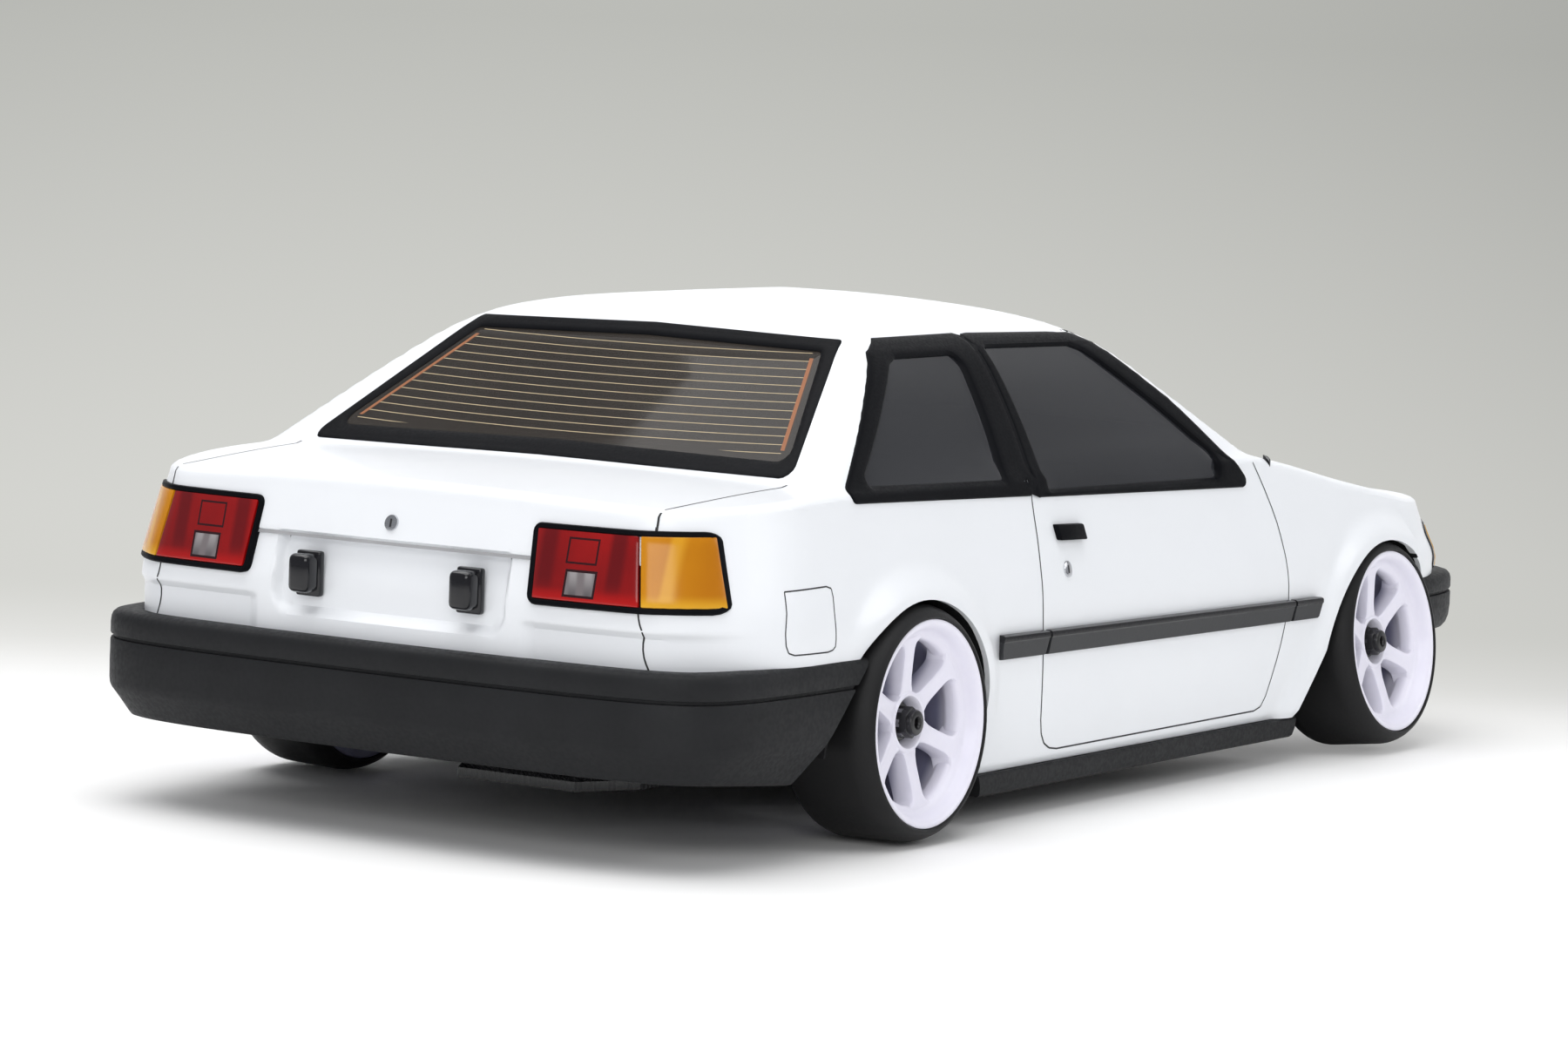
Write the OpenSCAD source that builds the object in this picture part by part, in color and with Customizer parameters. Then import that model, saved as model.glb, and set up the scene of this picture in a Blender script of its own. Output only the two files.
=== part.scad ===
// RC drift car: a painted notchback shell over a rear-drive carbon chassis. Millimetres.
// +X points to the nose, +Y to the left side, +Z up; the origin is on the floor, mid car.

/* [Wheelbase and wheels] */
// Distance between the two axles
wheelbase = 257; // [250:1:262]
// How far the middle of the wheelbase lies ahead of the origin
axle_shift = 9.9; // [8:0.1:12]
// Height of the chassis plate's underside over the floor
ride_h = 8; // [7:0.25:9]
// Outer radius of the slick tyres
tyre_r = 29.6; // [28:0.1:29.8]
// Rounding radius of the tyre's shoulders
tyre_shoulder = 5; // [3:0.25:6]
// Radius of the rim's lips
rim_r = 26; // [25:0.1:26.5]
// Overall width of a rim
rim_w = 26; // [24:0.5:26]
// Number of spokes in a rim
spokes = 6; // [5:1:8]
// Width of a spoke
spoke_w = 5; // [3.5:0.1:6]
// Half track over the rear rims' outer faces
track_rear = 99.2; // [97:0.1:100]
// Half track over the front rims' outer faces
track_front = 99.8; // [98:0.1:101]
// Negative camber of the rear wheels in degrees
camber_rear = 1.9; // [0:0.1:3]
// Negative camber of the front wheels in degrees
camber_front = 7; // [5:0.1:8]
// Size of the wheel hexes across their flats
hex_af = 12; // [10:0.5:12.5]

/* [Body shell] */
// Thickness of the shell's skin
skin = 1.4; // [1.2:0.1:1.8]
// Half width of the body at its crease
body_half_w = 95; // [94:0.25:96]
// Height of the body's side crease
crease_z = 57; // [54:0.5:58]
// Height of the door sills' lower edge
sill_z = 13; // [12:0.5:15]
// Radius of the wheel arches
arch_r = 35.4; // [35.2:0.1:36]
// Height of the wheel arches' centres
arch_z = 25.4; // [24.8:0.1:25.5]
// How far the arches' flares stand out from the sides
flare_out = 2.4; // [1.5:0.1:3]
// Height of the roof's middle
roof_z = 130.6; // [129:0.1:132]
// Width of the window surrounds
trim_w = 4.5; // [3:0.25:6]
// Height at which the bumpers meet the body
bumper_z = 48.3; // [47:0.1:49.5]
// How far the bumpers stand out from the body
bumper_out = 5; // [3:0.25:6]
// Wall of the bumpers and skirts
bumper_wall = 2; // [1.6:0.1:2.6]
// Height of the side skirts
skirt_h = 6; // [4:0.5:6]

/* [Suspension] */
// Height of the lower arms' hinge lines
arm_low_z = 15; // [14.8:0.1:15.5]
// Height of the upper arms' hinge lines
arm_up_z = 44; // [43:0.25:45]
// Distance of the inner hinge lines from the middle
arm_in_y = 20; // [19.5:0.25:20.5]
// From the rear arms' outer hinge lines out to the rims' faces
rear_hub_reach = 39.2; // [38.8:0.1:39.6]
// From the front arms' outer hinge lines out to the rims' faces
front_hub_reach = 42.8; // [42.4:0.1:43.4]
// From the kingpins out to the front rims' faces
kingpin_reach = 32.8; // [32.4:0.1:33.2]
// Radius of the hinge pins
pin_r = 1.5; // [1.2:0.1:1.6]
// Running clearance of shafts and pins in their bores
run_gap = 0.05; // [0.03:0.01:0.08]
// From the dampers out to the front arms' outer hinge lines
damper_reach = 15; // [14:0.25:17]
// Radius of the damper cylinders
damper_r = 4.5; // [4:0.1:4.8]
// Mean radius of the coil springs
spring_r = 5.7; // [5.5:0.1:6]
// Radius of the springs' wire
wire_r = 0.6; // [0.4:0.05:0.7]
// Turns in a spring
spring_turns = 6; // [4:1:8]

/* [Steering] */
// Length of the knuckles' arms and of the servo horn
steer_arm = 16; // [15:0.5:17]
// How far the servo's output lies behind the front axle
servo_back = 34; // [32:0.5:36]
// Radius of the steering ball pins
ball_pin_r = 1.3; // [1:0.1:1.4]
// Height of the steering rods' layer over the floor
rod_z = 38; // [37.5:0.25:38.5]

/* [Drive train] */
// Teeth of the spool's ring gear
ring_teeth = 42; // [40:1:42]
// Teeth of the layshaft's small gear
lay_teeth = 18; // [17:1:18]
// Module of the gears inside the case
ring_module = 0.8; // [0.78:0.01:0.8]
// Teeth of the spur gear
spur_teeth = 70; // [68:1:70]
// Teeth of the motor's pinion
pinion_teeth = 23; // [23:1:25]
// Module of the spur gear and pinion
spur_module = 0.6; // [0.59:0.01:0.61]
// Play taken from each tooth flank
tooth_play = 0.05; // [0.03:0.01:0.08]
// Radius of the motor's can
motor_r = 17.8; // [17:0.1:17.9]
// Length of the motor's can
motor_len = 48; // [44:1:50]

/* [Chassis] */
// Thickness of the carbon chassis plate
plate_t = 2.5; // [2:0.1:2.6]
// Half width of the chassis plate at the battery
plate_half_w = 50; // [49:0.5:54]
// Thickness of the carbon upper deck
deck_t = 2; // [1.6:0.1:2.4]
// Length, width and height of the battery
battery_size = [46, 96, 25];
// Thickness of the carbon shock towers
tower_t = 2.5; // [2:0.1:2.5]

/* [Hidden] */
$fn = 48;
eps = 0.01;
seat = 0.3;                                   // gap between bodies that only rest or pass
axle_rear = axle_shift - wheelbase / 2;
axle_front = axle_shift + wheelbase / 2;
plate_top = ride_h + plate_t;
rear_out_y = track_rear - rear_hub_reach;     // outer hinge lines of the rear arms
front_out_y = track_front - front_hub_reach;  // outer hinge lines of the front arms
kingpin_y = track_front - kingpin_reach;
damper_y = front_out_y - damper_reach;

// Wheels: the tread's lowest point touches the floor once the wheel is cambered.
tread_half = rim_w / 2 - 0.4 - tyre_shoulder; // half width of the tread's flat part
function wheel_z(c) = (tyre_r - tyre_shoulder) * cos(c) + tread_half * sin(c) + tyre_shoulder;
function wheel_y(face, c) = face - rim_w / 2 * cos(c);
rear_wheel_y = wheel_y(track_rear, camber_rear);
rear_wheel_z = wheel_z(camber_rear);
front_wheel_y = wheel_y(track_front, camber_front);
front_wheel_z = wheel_z(camber_front);
drum_r = rim_r - 2;                           // the rim's drum, inside the tyre
barrel_r = drum_r - 1.5;                      // the drum's bore
axle_r = 2;                                   // wheel shaft
hub_back = -9;                                // hub's inner face along the axle
hub_front = 1;                                // hub's outer face along the axle
hex_len = 5;

// Drive line: spool, layshaft and motor shaft all run along Y.
spool_z = rear_wheel_z - (rear_wheel_y - rear_out_y) * tan(camber_rear);
ring_gap = (ring_teeth + lay_teeth) * ring_module / 2;
spur_gap = (spur_teeth + pinion_teeth) * spur_module / 2;
lay_angle = 45;                               // from the spool up to the layshaft
motor_angle = -20;                            // from the layshaft to the motor
lay_x = axle_rear + ring_gap * cos(lay_angle);
lay_z = spool_z + ring_gap * sin(lay_angle);
motor_x = lay_x + spur_gap * cos(motor_angle);
motor_z = lay_z + spur_gap * sin(motor_angle);
case_half = 9;                                // half width of the gearbox
case_wall = 1.6;
gear_face = 6;                                // width of the gears inside the case
spool_cup_y = arm_in_y - 6;                   // inner ends of the spool's cups
spur_face = 3.5;
spur_y = -(spool_cup_y - seat - spur_face / 2); // middle of the spur gear and pinion
lay_r = 2;                                    // layshaft
spool_r = 2;                                  // spool's necks through the case
rotor_r = 1.6;                                // motor shaft
cup_r = 5;
cup_bore = 3.4;
ball_r = 2.7;
drive_pin_r = 0.7;

// Dampers stand upright over a pin that lies level with the arm's hinge.
damper_top = 58;
damper_low = 37;
perch_up = 47;
perch_low = 22;
rear_damper_x = axle_rear - 27;
front_damper_x = axle_front + 13;
case_r = ring_teeth * ring_module / 2 + 0.9 + case_wall; // gearbox around the spool
rear_tower_x = axle_rear - case_r - seat - tower_t; // rear face of the rear tower
front_tower_x = axle_front + 20;              // rear face of the front tower

servo_x = axle_front - servo_back;
deck_z = 46;                                  // underside of the upper deck

// ---------- small helpers ----------
module both_sides() {
    children();
    mirror([0, 1, 0]) children();
}

module bar_x(r, x0, x1) {                     // round bar along X
    translate([x0, 0, 0]) rotate([0, 90, 0]) cylinder(r = r, h = x1 - x0);
}

module bar_y(r, y0, y1) {                     // round bar along Y
    translate([0, y0, 0]) rotate([-90, 0, 0]) cylinder(r = r, h = y1 - y0);
}

module box(x0, x1, y0, y1, z0, z1) {
    translate([x0, y0, z0]) cube([x1 - x0, y1 - y0, z1 - z0]);
}

module yz_plate(x0, t) {                      // children drawn as (y, z), t thick from x0
    translate([x0, 0, 0]) rotate([90, 0, 90]) linear_extrude(t) children();
}

module xz_plate(y0, y1) {                     // children drawn as (x, z), between y0 and y1
    translate([0, y1, 0]) rotate([90, 0, 0]) linear_extrude(y1 - y0) children();
}

module rear_wheel_place() {
    translate([axle_rear, rear_wheel_y, rear_wheel_z]) rotate([camber_rear, 0, 0]) children();
}

module front_wheel_place() {
    translate([axle_front, front_wheel_y, front_wheel_z]) rotate([camber_front, 0, 0]) children();
}

function flip_y(pts) = [for (i = [len(pts) - 1:-1:0]) [pts[i][0], -pts[i][1]]];

// ---------- gears ----------
function involute(base, r) = let (a = acos(min(1, base / r))) tan(a) * 180 / PI - a;

module gear(teeth, mod, face, bore) {         // tooth 0 points along +X, axis along Y, centred
    pitch = teeth * mod / 2;
    base = pitch * cos(20);
    root = pitch - 1.2 * mod;
    radii = [root, max(root, base), pitch, pitch + 0.9 * mod];
    half = 90 / teeth - tooth_play / pitch * 180 / PI;
    turn = [for (r = radii) half + involute(base, pitch) - involute(base, max(r, base))];
    xz_plate(-face / 2, face / 2) difference() {
        polygon([for (t = [0:teeth - 1], k = [0:7])
            let (i = min(k, 7 - k), a = t * 360 / teeth + (k < 4 ? -turn[i] : turn[i]))
                radii[i] * [cos(a), sin(a)]]);
        circle(bore);
    }
}

module turned(a) { rotate([0, -a, 0]) children(); } // by a degrees in the (x, z) plane

// ---------- wheels: the axle lies along Y and +Y is the outer side ----------
module rim() {
    half = rim_w / 2;
    dish = 9.5;                               // where the dish's cone ends
    step = 4.5;                               // outer ends of the spokes
    color("white") difference() {
        union() {
            rotate([-90, 0, 0]) rotate_extrude($fn = 96) polygon([
                [barrel_r, -half], [rim_r, -half], [rim_r, -half + 1.6], [drum_r, -half + 2],
                [drum_r, half - 2], [rim_r, half - 1.6], [rim_r, half], [rim_r - 1.4, half],
                [barrel_r - 0.1, dish], [barrel_r - 1.3, step + 1.5], [barrel_r - 1.3, step - 1.5],
                [barrel_r, step - 3]]);
            bar_y(8.5, hub_back, hub_front);
            for (k = [0:spokes - 1]) turned(k * 360 / spokes + 37) spoke(step);
        }
        bar_y(axle_r + run_gap, hub_back - 1, hub_front + 1);
        translate([0, hub_back - 1, 0]) rotate([-90, 0, 0])
            cylinder(d = (hex_af + 0.1) / cos(30), h = hex_len + 1, $fn = 6);
    }
}

module spoke(step) {                          // concave: the hub lies deeper than the barrel
    translate([0, 0, -spoke_w / 2]) linear_extrude(spoke_w) polygon([
        [6, -4], [barrel_r - 1, step - 3.4], [barrel_r - 1, step], [barrel_r - 4, step],
        [12, hub_front + 0.4], [6, hub_front]]);
}

module tyre() {
    half = rim_w / 2 - 0.4;
    lip = rim_w / 2 - 1.7;
    color([0.1, 0.1, 0.1]) rotate([-90, 0, 0]) rotate_extrude($fn = 120) difference() {
        intersection() {
            translate([0, -half]) square([tyre_r, 2 * half]);
            union() {
                translate([0, -tread_half]) square([tyre_r, 2 * tread_half]);
                translate([0, -half]) square([tyre_r - tyre_shoulder, 2 * half]);
                for (s = [-1, 1]) translate([tyre_r - tyre_shoulder, s * tread_half])
                    circle(tyre_shoulder);
            }
        }
        translate([0, -rim_w]) square([drum_r + 0.1, 2 * rim_w]);
        for (s = [0, 1]) mirror([0, s]) translate([0, lip - 0.4]) square([rim_r + 0.1, rim_w]);
    }
}

module flange_nut(y0) {                       // M4 nut whose flange seats at y0
    difference() {
        union() {
            bar_y(4.6, y0, y0 + 1);
            translate([0, y0 + 1 - eps, 0]) rotate([-90, 0, 0])
                cylinder(d = 7 / cos(30), h = 4, $fn = 6);
        }
        bar_y(axle_r + run_gap, y0 - 1, y0 + 7);
    }
}

// ---------- rear drive: axles, shafts, spool and gears ----------
module drive_cup(y_open, y_back) {            // open at y_open, with a slot for the drive pin
    lo = min(y_open, y_back);
    hi = max(y_open, y_back);
    way = sign(y_open - y_back);
    difference() {
        bar_y(cup_r, lo, hi);
        bar_y(cup_bore, min(y_back + way * 1.5, y_open + way), max(y_back + way * 1.5, y_open + way));
        box(-cup_r - 1, cup_r + 1, min(y_back + way * 1.5, y_open + way),
            max(y_back + way * 1.5, y_open + way), -drive_pin_r - 0.5, drive_pin_r + 0.5);
    }
}

rear_cup_y = -(rear_wheel_y - rear_out_y) / cos(camber_rear); // joint centre along the axle
module rear_axle() {
    rear_wheel_place() {
        color("silver") {
            difference() {
                union() {
                    drive_cup(rear_cup_y - 4.2, rear_cup_y + 4.9);
                    bar_y(2.5, rear_cup_y + 4.8, hub_back - 0.1);
                    bar_y(axle_r, hub_back - 1, hub_front + 6.5);
                    translate([0, hub_back, 0]) rotate([-90, 0, 0])
                        cylinder(d = hex_af / cos(30), h = hex_len - 0.1, $fn = 6);
                }
                bar_y(0.8, hub_front + 5.5, hub_front + 7);
            }
        }
        color([0.1, 0.1, 0.1]) flange_nut(hub_front);
    }
}

module rear_rim() { rear_wheel_place() rim(); }
module rear_tyre() { rear_wheel_place() tyre(); }

module driveshaft() {
    length = rear_out_y - arm_in_y;
    color([0.25, 0.25, 0.27]) translate([axle_rear, arm_in_y, spool_z]) {
        bar_y(1.5, 0, length);
        for (y = [0, length]) translate([0, y, 0]) {
            sphere(ball_r);
            bar_x(drive_pin_r, -4.4, 4.4);
        }
    }
}

module rear_spool() {
    color([0.55, 0.56, 0.6]) translate([axle_rear, 0, spool_z]) {
        turned(lay_angle) gear(ring_teeth, ring_module, gear_face, spool_r - 0.5);
        bar_y(9, -gear_face / 2 + 1, gear_face / 2 - 1);
        both_sides() {
            bar_y(spool_r, 0, spool_cup_y + 0.5);
            drive_cup(arm_in_y + 4.2, spool_cup_y);
        }
    }
}

module spur_gear() {
    translate([lay_x, 0, lay_z]) {
        color([0.92, 0.92, 0.9]) difference() {
            translate([0, spur_y, 0]) turned(motor_angle)
                gear(spur_teeth, spur_module, spur_face, lay_r - 0.5);
            for (k = [0:5]) turned(k * 60) translate([13, 0, 0]) bar_y(3.4, spur_y - 3, spur_y + 3);
        }
        color([0.55, 0.56, 0.6]) {
            bar_y(lay_r, spur_y - spur_face, case_half + 1.2);
            turned(lay_angle + 180 + 180 / lay_teeth) gear(lay_teeth, ring_module, gear_face, lay_r - 0.5);
        }
    }
}

module motor_pinion() {
    color([0.6, 0.6, 0.62]) translate([motor_x, 0, motor_z]) {
        bar_y(rotor_r, spur_y - spur_face / 2 - 1, 8);
        translate([0, spur_y, 0]) turned(motor_angle + 180 + 180 / pinion_teeth)
            gear(pinion_teeth, spur_module, spur_face + 1, rotor_r - 0.4);
        bar_y(4.2, spur_y + spur_face / 2, spur_y + spur_face / 2 + 1.2);
    }
}

module case_outline(grow) {
    translate([axle_rear, spool_z]) circle(case_r - case_wall + grow);
    translate([lay_x, lay_z]) circle(lay_teeth * ring_module / 2 + 0.9 + grow);
}

module gearbox_case() {
    foot_z = plate_top + 1.2;
    color([0.16, 0.16, 0.17]) {
        difference() {
            union() {
                xz_plate(-case_half, case_half) case_outline(case_wall);
                xz_plate(-case_half, -case_half + 2.4) motor_plate();
                box(axle_rear - 18, axle_rear + 18, -arm_in_y - 5, arm_in_y + 5, plate_top, foot_z);
                both_sides() for (x = [-18, 13.3]) pillow(axle_rear + x);
            }
            box(axle_rear - 30, axle_rear + 30, -30, 30, 0, plate_top);
            xz_plate(-gear_face / 2 - 0.8, gear_face / 2 + 0.8) case_outline(0.2);
            translate([axle_rear, 0, spool_z]) bar_y(spool_r + run_gap, -20, 20);
            translate([lay_x, 0, lay_z]) bar_y(lay_r + run_gap, -20, 20);
            translate([motor_x, 0, motor_z]) bar_y(6.6, -20, 20);
        }
    }
    color("silver") both_sides() translate([0, arm_in_y, arm_low_z])
        bar_x(pin_r, axle_rear - 18, axle_rear + 18);
}

module motor_plate() {
    difference() {
        union() {
            translate([motor_x, motor_z]) circle(motor_r);
            polygon([[lay_x, lay_z + 9], [lay_x + 4, lay_z - 9], [motor_x - 4, motor_z - 17],
                [motor_x + 4, motor_z + 17]]);
            polygon([[lay_x - 6, plate_top], [motor_x + 4, plate_top], [motor_x + 2, motor_z - 14],
                [lay_x - 6, spool_z]]);
        }
        for (s = [-1, 1]) translate([motor_x + s * 12.5, motor_z]) circle(1.6);
    }
}

module pillow(x0) {                           // block that holds a lower hinge pin
    difference() {
        box(x0, x0 + 4.7, arm_in_y - 5, arm_in_y + 5, plate_top, arm_low_z + 3.2);
        translate([0, arm_in_y, arm_low_z]) bar_x(pin_r + 0.01, x0 - 1, x0 + 6);
    }
}

module motor_can() {
    face = -case_half + 2.4;
    translate([motor_x, 0, motor_z]) {
        color([0.2, 0.2, 0.22]) difference() {
            union() {
                bar_y(motor_r, face, face + motor_len);
                bar_y(6.4, face - 1.2, face + 1);
                bar_y(8, face + motor_len - 1, face + motor_len + 2);
            }
            bar_y(rotor_r + run_gap, face - 3, 10);
            for (k = [0:7]) turned(k * 45 + 22.5) translate([motor_r + 1, 0, 0])
                bar_y(2.4, face + 6, face + motor_len - 6);
        }
    }
}

// ---------- suspension, drawn for the left side ----------
module arm_eye(y, z, x0, x1) {                // eye that turns on a hinge pin
    translate([0, y, z]) difference() {
        bar_x(pin_r + 1.7, x0, x1);
        bar_x(pin_r + run_gap, x0 - 1, x1 + 1);
    }
}

module lower_arm(axle, out_y, lug_x, half_in, half_out) {
    t = 4;
    reach = pin_r + 2.2;
    lug = lug_x > axle ? [lug_x - 3.2, lug_x + 5] : [lug_x - 5, lug_x + 3.2];
    color([0.13, 0.13, 0.14]) {
        arm_eye(arm_in_y, arm_low_z, axle - 13, axle + 13);
        difference() {
            translate([0, 0, arm_low_z - t / 2]) linear_extrude(t) difference() {
                polygon([[axle - half_in, arm_in_y + reach - 1], [axle + half_in, arm_in_y + reach - 1],
                    [axle + half_out, out_y - 8], [axle + half_out, out_y - pin_r - 2.4],
                    [axle - half_out, out_y - pin_r - 2.4], [axle - half_out, out_y - 8]]);
                translate([axle, arm_in_y + 10]) circle(3.5);
                translate([axle, arm_in_y + 19]) circle(2.6);
            }
            lug_gap(lug_x);
        }
        difference() {
            union() {
                for (x = lug) box(min(x, axle), max(x, axle), damper_y - 3.4, damper_y + 3.4,
                    arm_low_z - t / 2, arm_low_z + t / 2);
                for (s = [-1, 1]) box(lug_x + s * 3 - 1, lug_x + s * 3 + 1, damper_y - 3.4,
                    damper_y + 3.4, arm_low_z - t / 2, arm_low_z + 3);
            }
            lug_gap(lug_x);
        }
        for (s = [-1, 1]) hull() {
            translate([axle + s * (half_out - 1.4), out_y, arm_low_z]) rotate([0, 90, 0])
                cylinder(r = pin_r + 1.5, h = 2.8, center = true, $fn = 32);
            translate([axle + s * (half_out - 1.4), out_y - 6, arm_low_z])
                cube([2.8, 2, t], center = true);
        }
    }
    color("silver") {
        translate([0, out_y, arm_low_z]) bar_x(pin_r, axle - half_out, axle + half_out);
        translate([0, damper_y, arm_low_z]) bar_x(pin_r, lug_x - 4, lug_x + 4);
    }
}

module lug_gap(lug_x) {                       // room for the damper shaft's lower eye
    box(lug_x - 2, lug_x + 2, damper_y - 4.4, damper_y + 4.4, 5, 30);
}

module rear_lower_arm() { lower_arm(axle_rear, rear_out_y, rear_damper_x, 12, 7.3); }
module front_lower_arm() { lower_arm(axle_front, front_out_y, front_damper_x, 12, 7.3); }

module rear_upper_arm() {
    x0 = axle_rear - 15.5;
    color([0.3, 0.3, 0.33]) {
        arm_eye(arm_in_y, arm_up_z, x0, x0 + 5.5);
        arm_eye(rear_out_y, arm_up_z, x0, x0 + 5.5);
        translate([x0 + 2.75, 0, arm_up_z]) bar_y(1.9, arm_in_y + pin_r + 1, rear_out_y - pin_r - 1);
        translate([x0 + 2.75, (arm_in_y + rear_out_y) / 2 - 4, arm_up_z]) rotate([-90, 0, 0])
            cylinder(d = 5.5 / cos(30), h = 8, $fn = 6);
    }
}

module front_upper_arm() {
    x0 = axle_front - 9;
    x1 = axle_front + 6;
    color([0.13, 0.13, 0.14]) {
        arm_eye(arm_in_y, arm_up_z, x0, x1);
        translate([0, 0, arm_up_z - 1.75]) linear_extrude(3.5) difference() {
            polygon([[x0, arm_in_y + pin_r + 1], [x1, arm_in_y + pin_r + 1],
                [axle_front + 3, front_out_y - 6], [axle_front + 3, front_out_y - pin_r - 1],
                [axle_front - 3, front_out_y - pin_r - 1], [axle_front - 3, front_out_y - 6]]);
            translate([(x0 + x1) / 2, arm_in_y + 10]) circle(2.8);
        }
        arm_eye(front_out_y, arm_up_z, axle_front - 3, axle_front + 3);
    }
}

module rear_hub_carrier() {
    house = [rear_cup_y + 5.2, hub_back - 1.2]; // bearing housing along the axle
    color([0.13, 0.13, 0.14]) difference() {
        union() {
            rear_wheel_place() bar_y(8, house[0], house[1]);
            translate([0, rear_out_y, arm_low_z]) bar_x(pin_r + 1.7, axle_rear - 4, axle_rear + 4);
            translate([axle_rear, rear_out_y, 0]) {
                box(-4, 4, 0, 8, arm_low_z - 2, arm_low_z + 2);
                box(-4, 4, 5.6, 10, arm_low_z - 2, spool_z - 4);
                box(-7, -1, 5.6, 10, spool_z + 4, arm_up_z + 2.5);
                box(-7, -2, -2.5, 10, arm_up_z - 2.5, arm_up_z + 2.5);
            }
        }
        rear_wheel_place() bar_y(2.5 + run_gap, house[0] - 1, house[1] + 1);
        translate([0, rear_out_y, arm_low_z]) bar_x(pin_r + run_gap, axle_rear - 9, axle_rear + 9);
    }
    color("silver") translate([0, rear_out_y, arm_up_z]) bar_x(pin_r, axle_rear - 16, axle_rear - 3);
}

module front_c_hub() {
    ear = 6.2;                                // the ears' reach around the kingpin
    color([0.13, 0.13, 0.14]) difference() {
        union() {
            box(axle_front - 4, axle_front + 4, front_out_y - 3.2, front_out_y + 3.2, 19.5, arm_up_z - 5);
            translate([0, front_out_y, arm_low_z]) bar_x(pin_r + 1.7, axle_front - 4, axle_front + 4);
            box(axle_front - 4, axle_front + 4, front_out_y - 1, front_out_y + 3.2, arm_low_z, 20);
            for (x = [axle_front - 6.3, axle_front + 3.3])
                box(x, x + 3, front_out_y - 3, front_out_y + 3.2, arm_up_z - 7, arm_up_z + 3);
            box(axle_front - 6.3, axle_front + 6.3, front_out_y - 3, front_out_y + 3.2, arm_up_z - 7,
                arm_up_z - 4);
            for (z = [[17, 20.5], [arm_up_z - 7, arm_up_z - 3.5]]) {
                box(axle_front - 4, axle_front + 4, front_out_y, kingpin_y, z[0], z[1]);
                translate([axle_front, kingpin_y, z[0]]) cylinder(r = 4, h = z[1] - z[0]);
            }
        }
        translate([axle_front, kingpin_y, 10]) cylinder(r = pin_r + run_gap, h = 50);
        translate([0, front_out_y, arm_low_z]) bar_x(pin_r + run_gap, axle_front - 9, axle_front + 9);
    }
    color("silver") translate([0, front_out_y, arm_up_z])
        bar_x(pin_r, axle_front - 6.3, axle_front + 6.3);
}

module front_knuckle() {
    low = 20.5 + seat;
    high = arm_up_z - 7 - seat;
    pin_top = rod_z + 9;
    color([0.16, 0.16, 0.17]) {
        translate([axle_front, kingpin_y, low]) cylinder(r = 4, h = high - low);
        front_wheel_place() bar_y(6, -front_wheel_y + kingpin_y + 1, hub_back - 1.2);
        box(axle_front - steer_arm, axle_front, kingpin_y - 2.5, kingpin_y + 2.5, 29, 33);
        translate([axle_front - steer_arm, kingpin_y, 29]) cylinder(r = 3, h = 4);
    }
    color("silver") {
        translate([axle_front, kingpin_y, 17.2]) cylinder(r = pin_r, h = arm_up_z - 3.7 - 17.2);
        translate([axle_front - steer_arm, kingpin_y, 30]) cylinder(r = ball_pin_r, h = pin_top - 30);
        front_wheel_place() bar_y(axle_r, hub_back - 3, hub_front + 6.5);
    }
    color([0.1, 0.1, 0.1]) front_wheel_place() flange_nut(hub_front + 0.3);
}

module front_rim() { front_wheel_place() rim(); }
module front_tyre() { front_wheel_place() tyre(); }

module damper_shaft(x) {
    translate([x, damper_y, 0]) {
        color("silver") {
            translate([0, 0, arm_low_z + 2]) cylinder(r = 1.3, h = 28);
        }
        color([0.13, 0.13, 0.14]) {
            translate([0, 0, arm_low_z]) difference() {
                bar_x(pin_r + 1.6, -1.7, 1.7);
                bar_x(pin_r + 0.3, -3, 3);
            }
            translate([0, 0, perch_low - 3.4]) cylinder(r = 2.4, h = 2.4);
            translate([0, 0, perch_low - 1.4]) cylinder(r = spring_r + 1, h = 1.4);
        }
    }
}

module damper_cylinder(x, tower) {            // its top pin reaches forward to the tower's face
    color([0.62, 0.63, 0.66]) translate([x, damper_y, 0]) {
        difference() {
            union() {
                translate([0, 0, damper_low]) cylinder(r = damper_r, h = damper_top - damper_low);
                translate([0, 0, perch_up]) cylinder(r = spring_r + 1, h = 1.6);
                translate([0, 0, damper_top - 1]) cylinder(r = 3.4, h = 5);
            }
            translate([0, 0, damper_low - 1]) cylinder(r = 1.3 + run_gap, h = 14);
        }
        translate([0, 0, damper_top + 2.5]) bar_x(1.5, 0, tower - x);
    }
}

module damper_cylinders() {
    both_sides() {
        damper_cylinder(rear_damper_x, rear_tower_x);
        damper_cylinder(front_damper_x, front_tower_x);
    }
}

module coil_spring(x) {                       // wire swept along a helix between the perches
    low = perch_low + wire_r + 0.05;
    high = perch_up - wire_r - 0.05;
    steps = 12;
    ring = 6;
    count = spring_turns * steps;
    function centre(i) = [x + spring_r * cos(i * 360 / steps), damper_y + spring_r * sin(i * 360 / steps),
        low + (high - low) * i / count];
    points = [for (i = [0:count], k = [0:ring - 1])
        let (a = i * 360 / steps, b = k * 360 / ring)
            centre(i) + wire_r * (cos(b) * [cos(a), sin(a), 0] + sin(b) * [0, 0, 1])];
    side = [for (i = [0:count - 1], k = [0:ring - 1])
        let (n = (k + 1) % ring, a = i * ring, b = a + ring)
            each [[a + k, b + k, b + n], [a + k, b + n, a + n]]];
    color([0.75, 0.76, 0.78]) polyhedron(points, concat(side,
        [[for (k = [0:ring - 1]) k], [for (k = [ring - 1:-1:0]) count * ring + k]]));
}

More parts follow.
